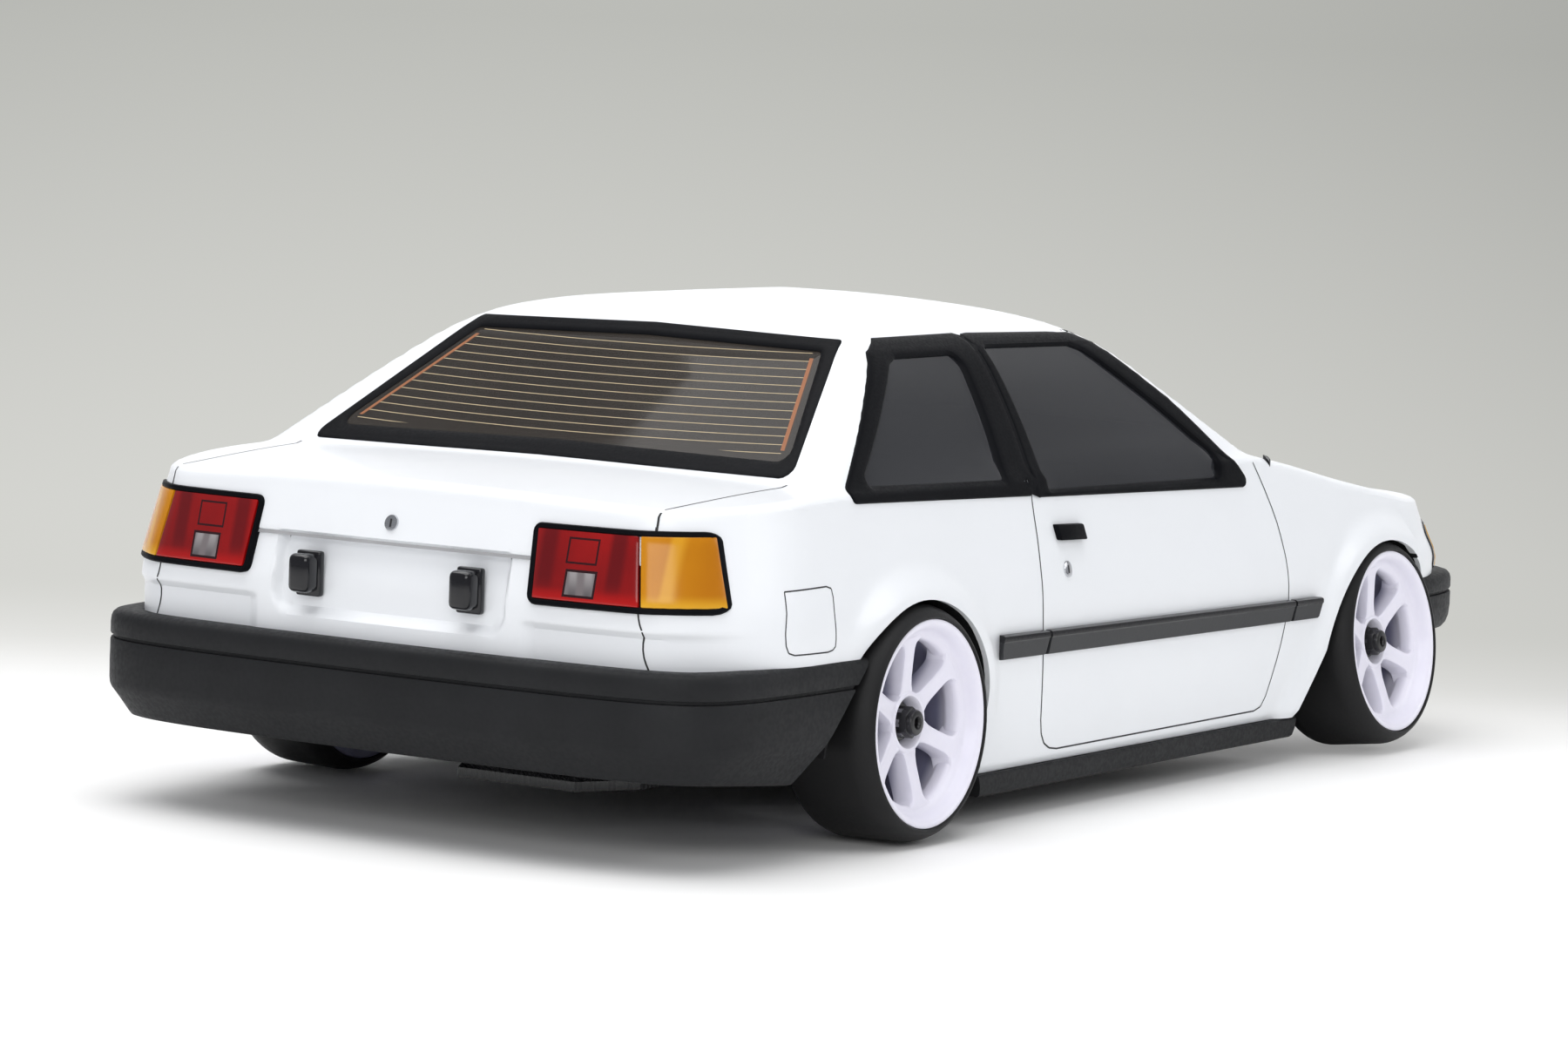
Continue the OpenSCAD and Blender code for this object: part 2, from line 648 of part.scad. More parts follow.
// ---------- chassis ----------
module chassis_plate() {
    half = [[axle_rear - 36, 18], [axle_rear - 20, 27], [axle_rear + 20, 27], [axle_rear + 34, 40],
        [-62, plate_half_w], [10, plate_half_w], [60, 40], [axle_front - 30, 26],
        [axle_front + 20, 26], [axle_front + 34, 20]];
    color([0.09, 0.09, 0.1]) translate([0, 0, ride_h]) linear_extrude(plate_t) difference() {
        polygon(concat(half, flip_y(half)));
        for (s = [-1, 1]) {
            for (x = [20, 50]) translate([x, s * 3]) circle(2);
            for (x = [axle_rear - 28, axle_front + 27]) translate([x, s * 10]) circle(1.6);
        }
    }
}

deck_rear_x = motor_x + motor_r + 3;
deck_post_in = 5;
deck_post_r = 2.6;
battery_x = deck_rear_x + deck_post_in + deck_post_r + 1;
module upper_deck() {
    rear_end = deck_rear_x;
    front_end = axle_front + 18;
    half = [[rear_end, 12], [rear_end + 6, 18], [10, 18], [20, 11], [servo_x - 26, 11],
        [axle_front - 16, 14], [front_end, 14]];
    color([0.09, 0.09, 0.1]) {
        translate([0, 0, deck_z]) linear_extrude(deck_t) difference() {
            polygon(concat(half, flip_y(half)));
            for (x = [-30, 0, 40]) translate([x, 0]) circle(5);
        }
        both_sides() for (x = [rear_end + deck_post_in, battery_x + battery_size[0] + 13])
            translate([x, 8, plate_top]) cylinder(r = deck_post_r, h = deck_z - plate_top);
    }
}

module front_bulkhead() {
    x0 = axle_front - 14;
    x1 = front_tower_x - eps;
    color([0.16, 0.16, 0.17]) {
        difference() {
            union() {
                box(x0, x1, -13, 13, plate_top, deck_z);
                box(axle_front - 18, axle_front + 18, -arm_in_y - 5, arm_in_y + 5, plate_top,
                    plate_top + 1.2);
                both_sides() {
                    for (x = [-18, 13.3]) pillow(axle_front + x);
                    for (x = [-13, 6.3]) box(axle_front + x, axle_front + x + 3.7, 12, arm_in_y + 3,
                        arm_up_z - 4, arm_up_z + 2);
                }
            }
            box(axle_front - 8, axle_front + 12, -14, 14, plate_top + 5, arm_up_z - 8);
        }
    }
    color("silver") both_sides() {
        translate([0, arm_in_y, arm_low_z]) bar_x(pin_r, axle_front - 18, axle_front + 18);
        translate([0, arm_in_y, arm_up_z]) bar_x(pin_r, axle_front - 13, axle_front + 10);
    }
}

module tower_outline() {
    half = [[0, plate_top], [16, plate_top], [16, 34], [24, 40], [26, 50], [damper_y + 5, 56],
        [damper_y + 6, 64], [30, 65], [12, 58], [0, 58]];
    difference() {
        polygon(concat(half, [for (i = [len(half) - 1:-1:0]) [-half[i][0], half[i][1]]]));
        for (s = [-1, 1]) translate([s * 8, 46]) circle(4);
    }
}

module shock_towers() {
    color([0.09, 0.09, 0.1]) {
        yz_plate(rear_tower_x, tower_t) tower_outline();
        yz_plate(front_tower_x, tower_t) tower_outline();
    }
    color("silver") both_sides() translate([0, arm_in_y, arm_up_z])
        bar_x(pin_r, rear_tower_x + 1, axle_rear - 9);
}

module steering_servo() {
    color([0.1, 0.1, 0.11]) {
        box(servo_x - 30, servo_x + 10, -10, 10, plate_top, 32);
        for (x = [servo_x - 37, servo_x + 9]) box(x, x + 8, -9, 9, 22, 24.4);
        translate([servo_x, 0, 31]) cylinder(r = 6.5, h = 2.6);
    }
}

module servo_horn() {
    low = 34;
    color([0.62, 0.63, 0.66]) {
        difference() {
            union() {
                translate([servo_x, 0, low]) cylinder(r = 4.2, h = 2.4);
                box(servo_x - steer_arm, servo_x, -2.4, 2.4, low, low + 2.4);
                translate([servo_x - steer_arm, 0, low]) cylinder(r = 2.9, h = 2.4);
            }
        }
        translate([servo_x - steer_arm, 0, low]) cylinder(r = ball_pin_r, h = rod_z + 7.4 - low);
    }
}

module tie_rod(layer) {                       // layer: height of this rod over the rods' plane
    z0 = rod_z + layer;
    inner = [servo_x - steer_arm, 0];
    outer = [axle_front - steer_arm, kingpin_y];
    run = outer - inner;
    angle = atan2(run[1], run[0]);
    color([0.3, 0.3, 0.33]) difference() {
        union() {
            for (p = [inner, outer]) translate([p[0], p[1], z0]) cylinder(r = 3.3, h = 2.8);
            translate([inner[0], inner[1], z0 + 1.4]) rotate([0, 0, angle - 90])
                bar_y(1.3, 2.6, norm(run) - 2.6);
        }
        translate([inner[0], inner[1], z0 - 1]) cylinder(r = ball_pin_r + run_gap, h = 5);
        translate([outer[0], outer[1], z0 - 1]) cylinder(r = ball_pin_r + 0.4, h = 5);
    }
}

module battery() {
    size = battery_size;
    color([0.14, 0.16, 0.2]) translate([battery_x, -size[1] / 2, plate_top]) difference() {
        cube(size);
        for (y = [14, 30]) translate([size[0] - 6, y, size[2] - 5]) cylinder(r = 2, h = 6);
    }
}

module electronics() {
    color([0.1, 0.1, 0.11]) {
        box(22, 54, -38, -13, plate_top, plate_top + 16);
        for (y = [-36:4:-16]) box(25, 51, y, y + 1.4, plate_top + 16 - eps, plate_top + 22);
        box(22, 50, 13, 37, plate_top, plate_top + 13);
    }
}

// Magnet posts carry the shell: their pads lie just under its skin.
front_post = [axle_front + 32, damper_y - 10];
rear_post = [axle_rear - 42, damper_y - 7];
module body_posts() {
    color([0.1, 0.1, 0.11]) both_sides() {
        post(front_post, front_tower_x + tower_t, 60);
        post(rear_post, rear_tower_x, 60);
    }
}

module post(place, tower, arm_z) {
    pad_r = 6;
    lowest = deck_height(place[0] + sign(place[0]) * pad_r, place[1] + pad_r);
    top = lowest - skin - seat;
    translate([place[0], place[1], arm_z - 2]) cylinder(r = 2.5, h = top - arm_z + 1);
    translate([place[0], place[1], top - 2.5]) cylinder(r = pad_r, h = 2.5);
    box(min(tower, place[0]), max(tower, place[0]), place[1] - 2.5, place[1] + 2.5, arm_z - 2, arm_z + 2);
}

// ---------- body shell: chosen heights along the car, as (x, height) pairs ----------
shoulder_line = [[-214, 83.5], [-141, 88], [62, 88], [82, 85.2], [118, 78.5], [150, 73], [165, 69.8],
    [214, 62]];
deck_line = [[-214, 86.5], [-141, 90.5], [62, 94], [82, 91.5], [118, 85.5], [165, 77], [214, 68.5]];
function shoulder(x) = lookup(x, shoulder_line);
function shoulder_y(x) = body_half_w - (shoulder(x) - crease_z) * 0.21;
function deck_height(x, y) =
    shoulder(x) + (lookup(x, deck_line) - shoulder(x)) * (1 - pow(y / shoulder_y(x), 2));

// Plan shape of the ends: how far along the car they lie at a share of the half width.
tail_x = -211.8;                              // tail panel's middle, at the lamps' foot
nose_x = 210.8;                               // nose panel's middle, at the bumper's top
tail_bow = [[0, 0], [0.26, 0.2], [0.5, 0.6], [0.66, 1.4], [0.77, 2.6], [0.85, 7], [0.91, 13.2],
    [0.96, 24], [1, 42]];
nose_bow = [[0, 0], [0.26, 0.8], [0.5, 3.4], [0.66, 7], [0.77, 11.5], [0.85, 17], [0.91, 23.5],
    [0.96, 31.5], [1, 44]];
tail_slant = 0.25;                            // how the ends lean in, per mm of height
nose_slant = 0.5;
tail_foot = 62;                               // height from which the tail leans in
function tail(t, z) = tail_x + lookup(t, tail_bow) + max(z - tail_foot, 0) * tail_slant * (1 - t * t / 4);
function nose(t, z) =
    nose_x - lookup(t, nose_bow) - max(z - bumper_z, 0) * nose_slant * (1 - t * t / 4);
bumper_plan_rear = [[-218, 0], [-217.6, 30], [-216.6, 55], [-214.5, 72], [-210.5, 83], [-203.5, 90.5],
    [-192, 94.5], [-175, 96], [-140, 96.4]];
bumper_plan_front = [[150, 96], [170, 94.8], [184, 92], [194, 87.5], [203, 79], [209.5, 66],
    [214.5, 45], [217.4, 22], [218, 0]];
bumper_lip = bumper_out + 5;                  // how far the bumpers' top lips reach in
groove_z = 41.5;
rear_cut_x = -143;                            // where the bumper's upper edge ends on the side
quarter_window = [[-139.5, 89.4], [-97, 119.2], [-93, 120.4], [-49, 120.4], [-57.6, 89.4]];
door_window = [[-52.5, 89.4], [-44.5, 120.4], [10.5, 120.4], [17.5, 116.5], [37, 104], [54, 89.4]];
rear_window = [[72.5, 92.4], [-72.5, 92.4], [-56.5, 119.2], [-54.5, 120.4], [54.5, 120.4], [56.5, 119.2]];
windscreen = [[73, 95.6], [-73, 95.6], [-57, 119.2], [-55, 120.4], [55, 120.4], [57, 119.2]];
lamp_z = [61.9, 80.3];                        // tail lamps
lamp_y = [40.7, 71.8];                        // inner end of the red lens and of the amber one
lamp_side_x = -194.6;                         // where the amber lens ends on the side
head_z = [50.6, 65.2];
head_y = [47, 79];
corner_x = 178;
mesh_gap = 0.15;                              // gap around panes, lenses and surrounds

module loft(rings) {                          // closed rings of points, one after another
    n = len(rings[0]);
    last = (len(rings) - 1) * n;
    polyhedron([for (r = rings) each r], concat(
        [for (i = [0:n:last - n], k = [0:n - 1])
            let (m = (k + 1) % n) each [[i + n + m, i + n + k, i + k], [i + m, i + n + m, i + k]]],
        [[for (k = [n - 1:-1:0]) k], [for (k = [0:n - 1]) last + k]]));
}

// The lower body is a net of points: rows go up the side, columns across the top and the ends.
shares = [for (s = [-8:8]) sign(s) * tail_bow[abs(s)][0]]; // columns, as shares of the half width
steps_x = [for (i = [0:18]) i / 18];
function side_rows(x, in) = let (s = shoulder(x), w = shoulder_y(x))
    [[body_half_w - 4.5, in > 0 ? -2 : 3], [body_half_w - 4, 15], [body_half_w - 0.3, crease_z - 11],
        [body_half_w, crease_z], [w + 0.6, s - 3.6], [w - 0.4, s - 1.2 - in * 0.5]];
function along(u, t, z, in) = let (a = tail(t, z) + in, b = nose(t, z) - in) a + (b - a) * u;
function side_point(u, k, side, in) =
    let (guess = along(u, 1, 80, in), r = side_rows(guess, in)[k])
        [along(u, 1, r[1], in), side * (r[0] - in), r[1]];
function crown_point(u, t, in) =
    let (x = along(u, t, 84, in), y = t * (shoulder_y(x) - 2.6))
    [x, y - sign(t) * in * 0.8, deck_height(x, y) - in];
function row_point(u, k, t, in) =
    let (guess = along(u, t, 80, in), r = side_rows(guess, in)[k])
    [along(u, t, r[1], in), t * (r[0] - in), r[1]];

module lower_form(in) {
    rows = 6;
    cols = len(shares);
    ring = 2 * rows + cols;                   // right side going up, crown, left side going down
    stations = len(steps_x);
    body = [for (u = steps_x) each concat(
        [for (k = [0:rows - 1]) side_point(u, k, -1, in)], [for (t = shares) crown_point(u, t, in)],
        [for (k = [rows - 1:-1:0]) side_point(u, k, 1, in)])];
    inner = [for (u = [0, 1], k = [0:rows - 1], j = [1:cols - 2]) row_point(u, k, shares[j], in)];
    first = stations * ring;                  // first point inside the ends
    function end_at(e, k, j) = let (base = e * (stations - 1) * ring)
        k == rows ? base + rows + j : j == 0 ? base + k : j == cols - 1 ? base + ring - 1 - k
            : first + (e * rows + k) * (cols - 2) + j - 1;
    strips = [for (i = [0:stations - 2], k = [0:ring - 1])
        let (m = (k + 1) % ring, a = i * ring, b = a + ring)
            if (k < ring - 1) each [[b + m, b + k, a + k], [a + m, b + m, a + k]]];
    ends = [for (e = [0, 1], k = [0:rows - 1], j = [0:cols - 2])
        let (p = end_at(e, k, j), q = end_at(e, k, j + 1), r = end_at(e, k + 1, j + 1),
            s = end_at(e, k + 1, j))
            each e == 0 ? [[r, s, p], [q, r, p]] : [[s, r, p], [r, q, p]]];
    under = concat([for (i = [0:stations - 1]) i * ring],
        [for (j = [1:cols - 2]) end_at(1, 0, j)], [for (i = [stations - 1:-1:0]) i * ring + ring - 1],
        [for (j = [cols - 2:-1:1]) end_at(0, 0, j)]);
    polyhedron(concat(body, inner), concat(strips, ends, [under]));
}

// Greenhouse: rings from the waist up to the roof, as [z, half width, front x, rear x, bow].
cabin_rings = [[81, 85.2, 79, -161.5, 6], [88, 87, 68, -150.5, 7], [105, 75.8, 41, -123.5, 6],
    [121.5, 64.4, 15, -98, 4], [124.8, 60, 8, -93.5, 3.5], [127.6, 51, -4, -86, 3],
    [129.6, 37, -18, -74, 2], [roof_z, 18, -34, -58, 1]];

function cabin_ring(q, in) = let (z = q[0] - (q[0] > 122 ? in : 0), w = q[1] - in, f = q[2] - in * 1.3,
    b = q[3] + in * 1.3, r = min(5, w / 3), bow = q[4])
    concat(
        [for (a = [0, 30, 60, 90]) [f - r + r * cos(a), w - r + r * sin(a), z]],
        [for (t = [0.25, 0.5, 0.75]) [f + (b - f) * t, w + 0.8 * sin(180 * t), z]],
        [for (a = [90, 120, 150, 180]) [b + r + r * cos(a), w - r + r * sin(a), z]],
        [for (t = [0.75:-0.25:-0.75]) [b - 0.5 * bow * (1 - t * t), (w - r) * t, z]],
        [for (a = [180, 210, 240, 270]) [b + r + r * cos(a), -w + r + r * sin(a), z]],
        [for (t = [0.75, 0.5, 0.25]) [f + (b - f) * t, -w - 0.8 * sin(180 * t), z]],
        [for (a = [270, 300, 330, 360]) [f - r + r * cos(a), -w + r + r * sin(a), z]],
        [for (t = [-0.75:0.25:0.75]) [f + bow * (1 - t * t), (w - r) * t, z]]);

module cabin_form(in) { loft([for (i = [len(cabin_rings) - 1:-1:0]) cabin_ring(cabin_rings[i], in)]); }

module whole_form(in) {
    lower_form(in);
    cabin_form(in);
}

module skin_between(outer, inner) {
    difference() {
        whole_form(outer);
        whole_form(inner);
    }
}

module one_mesh() { resize([0, 0, 0]) children(); } // the lofted skin is cut as one mesh

module side_windows(in) {                     // both sides at once, shrunk by in
    xz_plate(-100, 100) offset(delta = -in) polygon(quarter_window);
    xz_plate(-100, 100) offset(delta = -in) polygon(door_window);
}

module end_windows(in) {
    yz_plate(-180, 95) offset(delta = -in) polygon(rear_window);
    yz_plate(0, 100) offset(delta = -in) polygon(windscreen);
}

module window_openings(in) {
    side_windows(in);
    end_windows(in);
}

module tail_lamp_zone(y0, y1, gap) {
    both_sides() box(-240, lamp_side_x - gap, y0 + gap, y1 - gap, lamp_z[0] + gap, lamp_z[1] - gap);
}

module head_lamp_zone(y0, y1, gap) {
    both_sides() box(corner_x + gap, 240, y0 + gap, y1 - gap, head_z[0] + gap, head_z[1] - gap);
}

module arch_cut(axle, slope, rise) {          // wheel arch with a straight lower edge to one side
    xz_plate(-120, 120) translate([axle, 0]) {
        translate([0, arch_z]) circle(arch_r, $fn = 72);
        polygon([[0, -20], [slope, -20], [sign(slope) * (arch_r - 0.4), arch_z + rise], [0, arch_z]]);
    }
}

module flare(axle) {                          // the sides swell out towards the arches
    wide = arch_r + 8;
    both_sides() difference() {
        translate([axle, body_half_w - 2.6, arch_z]) rotate([-90, 0, 0])
            cylinder(r1 = wide + 1, r2 = arch_r + 1.6, h = 2.6 + flare_out, $fn = 72);
        translate([axle, body_half_w - 2.6 - skin, arch_z]) rotate([-90, 0, 0])
            cylinder(r1 = wide + 1, r2 = arch_r + 0.4, h = 2.5 + flare_out, $fn = 72);
    }
}

module body_shell() {
    color("white") one_mesh() difference() {
        union() {
            skin_between(0, skin);
            flare(axle_rear);
            flare(axle_front);
        }
        arch_cut(axle_rear, 42, 3);
        arch_cut(axle_front, -55, 6);
        box(-250, axle_rear, -120, 120, -10, bumper_z + mesh_gap);
        box(axle_front, 250, -120, 120, -10, bumper_z + mesh_gap);
        box(-250, 250, -120, 120, -60, sill_z);
        window_openings(0);
        tail_lamp_zone(lamp_y[0], 110, 0);
        head_lamp_zone(head_y[0], 110, 0);
        box(150, 240, -head_y[0] + 2, head_y[0] - 2, head_z[0], head_z[1]);
    }
}

module window_trims() {
    color([0.08, 0.08, 0.09]) one_mesh() intersection() {
        skin_between(-0.5, skin);
        difference() {
            window_openings(mesh_gap);
            window_openings(trim_w);
        }
    }
}

module windows() {
    color([0.3, 0.3, 0.32, 0.8]) one_mesh() intersection() {
        skin_between(0.3, skin + 0.2);
        window_openings(trim_w + mesh_gap);
    }
}

module tail_lights() {
    color([0.7, 0.05, 0.05]) one_mesh() intersection() {
        skin_between(-0.5, 3);
        tail_lamp_zone(lamp_y[0], lamp_y[1], mesh_gap);
    }
    color([0.85, 0.45, 0.05]) one_mesh() intersection() {
        skin_between(-0.5, 3);
        tail_lamp_zone(lamp_y[1], 110, mesh_gap);
    }
}

module headlights() {
    color([0.9, 0.92, 0.95]) one_mesh() intersection() {
        skin_between(-0.3, 3);
        head_lamp_zone(head_y[0], head_y[1], mesh_gap);
    }
    color([0.85, 0.45, 0.05]) one_mesh() intersection() {
        skin_between(-0.3, 3);
        head_lamp_zone(head_y[1], 110, mesh_gap);
    }
}

module bumper_ring(half, z0, z1, outer, inner) { // curved wall between two insets of a plan
    translate([0, 0, z0]) linear_extrude(z1 - z0) difference() {
        offset(delta = -outer) polygon(concat(half, flip_y(half)));
        offset(delta = -inner) polygon(concat(half, flip_y(half)));
    }
}

module bumper_bar(half, low) {               // wall with a groove and a lip over its top edge
    difference() {
        union() {
            bumper_ring(half, low, bumper_z - 1.8, 0, bumper_wall + 1);
            bumper_ring(half, bumper_z - 1.8, bumper_z, 0.8, bumper_lip);
        }
        bumper_ring(half, groove_z, groove_z + 1.1, -5, 0.8);
    }
}

module rear_bumper() {
    half = concat(bumper_plan_rear, [[0, 96.4]]);
    low = 20.6;
    color([0.17, 0.17, 0.18]) one_mesh() difference() {
        bumper_bar(half, low);
        bumper_ring(half, low - 5, 24, -5, 1.6);
        xz_plate(-110, 110) polygon([[rear_cut_x - 40, -4.5], [rear_cut_x, bumper_z - 0.3],
            [rear_cut_x, 60], [60, 60], [60, -4.5]]);
    }
}

module front_bumper() {
    half = concat([[0, 96]], bumper_plan_front);
    wheel_room = 92.4;                        // the steered wheels swing inside this half width
    color([0.17, 0.17, 0.18]) one_mesh() {
        difference() {
            bumper_bar(half, 31);
            xz_plate(-110, 110) polygon([[185.3, 20], [165, 49], [165, 60], [-60, 60], [-60, 20]]);
            box(120, axle_front + 40, -wheel_room, wheel_room, 0, 60);
        }
        intersection() {
            bumper_ring(half, 13.5, 31.5, bumper_wall + 0.4, bumper_wall * 2);
            box(150, 230, -64, 64, 10, 40);
        }
    }
    color([0.1, 0.1, 0.1]) one_mesh() intersection() {
        skin_between(0.4, 2.6);
        difference() {
            box(150, 240, -head_y[0] + 2.2, head_y[0] - 2.2, head_z[0] + 0.2, head_z[1] - 0.2);
            for (z = [head_z[0] + 1.8:3:head_z[1] - 3]) box(150, 240, -43, 43, z, z + 1.8);
        }
    }
}

module side_skirts() {
    color([0.17, 0.17, 0.18]) both_sides() {
        y = body_half_w - 4;
        start = axle_rear + 37.6;
        end = axle_front - 43.4;
        box(start, end, y - bumper_wall, y + 0.4, sill_z - skirt_h, sill_z - eps);
        box(start, end, y - 8, y - bumper_wall + eps, sill_z - skirt_h, sill_z - skirt_h + 1.5);
    }
}

plate_lamp_y = [20.4, 28];
plate_lamp_z = [57.2, 68.4];
module body_trim() {
    y = body_half_w + 0.15;
    start = axle_rear + 39.6;                 // the mouldings run between the wheel arches
    end = axle_front - 39.4;
    color([0.1, 0.1, 0.1]) {
        both_sides() {
            for (x = [[start, -57], [-56, end - 18.5], [end - 17.5, end]]) moulding(x[0], x[1], y);
        }
        both_sides() box(tail_x - 3.6, tail_x, plate_lamp_y[0], plate_lamp_y[1], plate_lamp_z[0],
            plate_lamp_z[1]);
        one_mesh() intersection() {
            skin_between(-1.8, -0.2);
            box(-48, -32, -120, 120, 71, 75);
        }
    }
}

module moulding(x0, x1, y) {                  // its height falls gently towards the nose
    function top(x) = 49 - (x + 79) * 0.011;
    translate([0, y + 2, 0]) rotate([90, 0, 0]) linear_extrude(2)
        polygon([[x0, top(x0) - 6.6], [x1, top(x1) - 6.2], [x1, top(x1)], [x0, top(x0)]]);
}

// ---------- left and right ----------
module rear_lower_arm_left() { rear_lower_arm(); }
module rear_lower_arm_right() { mirror([0, 1, 0]) rear_lower_arm(); }
module rear_upper_arm_left() { rear_upper_arm(); }
module rear_upper_arm_right() { mirror([0, 1, 0]) rear_upper_arm(); }
module rear_hub_carrier_left() { rear_hub_carrier(); }
module rear_hub_carrier_right() { mirror([0, 1, 0]) rear_hub_carrier(); }
module rear_rim_left() { rear_rim(); }
module rear_rim_right() { mirror([0, 1, 0]) rear_rim(); }
module rear_tyre_left() { rear_tyre(); }
module rear_tyre_right() { mirror([0, 1, 0]) rear_tyre(); }
module rear_axle_left() { rear_axle(); }
module rear_axle_right() { mirror([0, 1, 0]) rear_axle(); }
module driveshaft_left() { driveshaft(); }
module driveshaft_right() { mirror([0, 1, 0]) driveshaft(); }
module rear_damper_shaft_left() { damper_shaft(rear_damper_x); }
module rear_damper_shaft_right() { mirror([0, 1, 0]) damper_shaft(rear_damper_x); }
module rear_spring_left() { coil_spring(rear_damper_x); }
module rear_spring_right() { mirror([0, 1, 0]) coil_spring(rear_damper_x); }
module front_lower_arm_left() { front_lower_arm(); }
module front_lower_arm_right() { mirror([0, 1, 0]) front_lower_arm(); }
module front_upper_arm_left() { front_upper_arm(); }
module front_upper_arm_right() { mirror([0, 1, 0]) front_upper_arm(); }
module front_c_hub_left() { front_c_hub(); }
module front_c_hub_right() { mirror([0, 1, 0]) front_c_hub(); }
module front_knuckle_left() { front_knuckle(); }
module front_knuckle_right() { mirror([0, 1, 0]) front_knuckle(); }
module front_rim_left() { front_rim(); }
module front_rim_right() { mirror([0, 1, 0]) front_rim(); }
module front_tyre_left() { front_tyre(); }
module front_tyre_right() { mirror([0, 1, 0]) front_tyre(); }
module front_damper_shaft_left() { damper_shaft(front_damper_x); }
module front_damper_shaft_right() { mirror([0, 1, 0]) damper_shaft(front_damper_x); }
module front_spring_left() { coil_spring(front_damper_x); }
module front_spring_right() { mirror([0, 1, 0]) coil_spring(front_damper_x); }
module tie_rod_left() { tie_rod(0); }
module tie_rod_right() { mirror([0, 1, 0]) tie_rod(3.1); }

chassis_plate();
upper_deck();
front_bulkhead();
gearbox_case();
shock_towers();
damper_cylinders();
motor_can();
steering_servo();
battery();
electronics();
body_posts();
body_shell();
front_bumper();
rear_bumper();
side_skirts();
windows();
window_trims();
tail_lights();
headlights();
body_trim();
servo_horn();
tie_rod_left();
tie_rod_right();
motor_pinion();
spur_gear();
rear_spool();
rear_lower_arm_left();
rear_lower_arm_right();
rear_upper_arm_left();
rear_upper_arm_right();
rear_hub_carrier_left();
rear_hub_carrier_right();
rear_rim_left();
rear_rim_right();
rear_tyre_left();
rear_tyre_right();
rear_axle_left();
rear_axle_right();
driveshaft_left();
driveshaft_right();
rear_damper_shaft_left();
rear_damper_shaft_right();
rear_spring_left();
rear_spring_right();
front_lower_arm_left();
front_lower_arm_right();
front_upper_arm_left();
front_upper_arm_right();
front_c_hub_left();
front_c_hub_right();
front_knuckle_left();
front_knuckle_right();
front_rim_left();
front_rim_right();
front_tyre_left();
front_tyre_right();
front_damper_shaft_left();
front_damper_shaft_right();
front_spring_left();
front_spring_right();
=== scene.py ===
import bisect
import math

import bmesh
import bpy
from mathutils import Matrix, Vector
from mathutils.bvhtree import BVHTree
from mathutils.kdtree import KDTree


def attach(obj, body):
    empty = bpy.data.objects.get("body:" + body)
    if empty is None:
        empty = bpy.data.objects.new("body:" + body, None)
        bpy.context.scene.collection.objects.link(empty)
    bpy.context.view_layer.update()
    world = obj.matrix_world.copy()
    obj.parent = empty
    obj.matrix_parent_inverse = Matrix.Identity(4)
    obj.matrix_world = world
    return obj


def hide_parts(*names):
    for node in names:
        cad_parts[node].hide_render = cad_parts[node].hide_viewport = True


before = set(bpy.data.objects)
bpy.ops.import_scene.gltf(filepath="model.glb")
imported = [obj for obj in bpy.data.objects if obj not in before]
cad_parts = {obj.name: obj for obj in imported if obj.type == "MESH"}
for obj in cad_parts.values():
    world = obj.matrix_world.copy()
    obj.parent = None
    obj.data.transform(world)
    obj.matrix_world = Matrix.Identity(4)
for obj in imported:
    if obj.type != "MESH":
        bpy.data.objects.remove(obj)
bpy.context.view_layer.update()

mm = 0.001


# a smooth curve through pairs of numbers, level wherever they turn back
def smoothTable(pairs):
    xs, ys = zip(*pairs)
    last = len(xs) - 2
    rise = [(ys[i + 1] - ys[i]) / (xs[i + 1] - xs[i]) for i in range(last + 1)]
    slope = [rise[0]]
    for a, b in zip(rise, rise[1:]):
        slope.append(0 if a * b <= 0 else 2 * a * b / (a + b))
    slope.append(rise[-1])

    def value(x):
        x = min(max(x, xs[0]), xs[-1])
        i = min(bisect.bisect_right(xs, x) - 1, last)
        h = xs[i + 1] - xs[i]
        t = (x - xs[i]) / h
        u = 1 - t
        return ((1 + 2 * t) * u * u * ys[i] + t * u * u * h * slope[i]
                + t * t * (3 - 2 * t) * ys[i + 1] - t * t * u * h * slope[i + 1])

    return value


def smoothstep(low, high, x):
    t = min(max((x - low) / (high - low), 0), 1)
    return t * t * (3 - 2 * t)


# the larger of two, blended where they are nearly the same
def softMax(a, b, width):
    near = max(width - abs(a - b), 0) / width
    return max(a, b) + near * near * width / 4


def softMin(a, b, width):
    return -softMax(-a, -b, width)


# the points of an outline moved in by the inset, with round corners
def roundedOutline(corners, radius, inset, arcSteps, edgePieces):
    count = len(corners)
    area = sum(corners[i - 1][0] * corners[i][1] - corners[i][0] * corners[i - 1][1] for i in range(count))
    turn = 1 if area > 0 else -1
    lines = []
    for a, b in zip(corners, corners[1:] + corners[:1]):
        along = (Vector(b) - Vector(a)).normalized()
        lines.append((Vector(a) + Vector((-along.y, along.x)) * turn * inset, along))
    size = max(radius - inset, 0.3)
    arcs = []
    for i in range(count):
        (p, d), (q, e) = lines[i - 1], lines[i]
        cross = d.x * e.y - d.y * e.x
        tip, gap = q, q - p
        if abs(cross) > 1e-4:
            tip = p + d * ((gap.x * e.y - gap.y * e.x) / cross)
        bend = 1 if cross > 0 else -1
        angle = math.acos(min(max(d.dot(e), -1), 1))
        start = tip - d * (size * math.tan(angle / 2))
        centre = start + Vector((-d.y, d.x)) * bend * size
        arm, arc = start - centre, []
        for k in range(arcSteps + 1):
            a = angle * k / arcSteps * bend
            arc.append(centre + Vector((arm.x * math.cos(a) - arm.y * math.sin(a),
                                        arm.x * math.sin(a) + arm.y * math.cos(a))))
        arcs.append(arc)
    points = []
    for arc, following in zip(arcs, arcs[1:] + arcs[:1]):
        points += arc + [arc[-1].lerp(following[0], j / edgePieces) for j in range(1, edgePieces)]
    return points


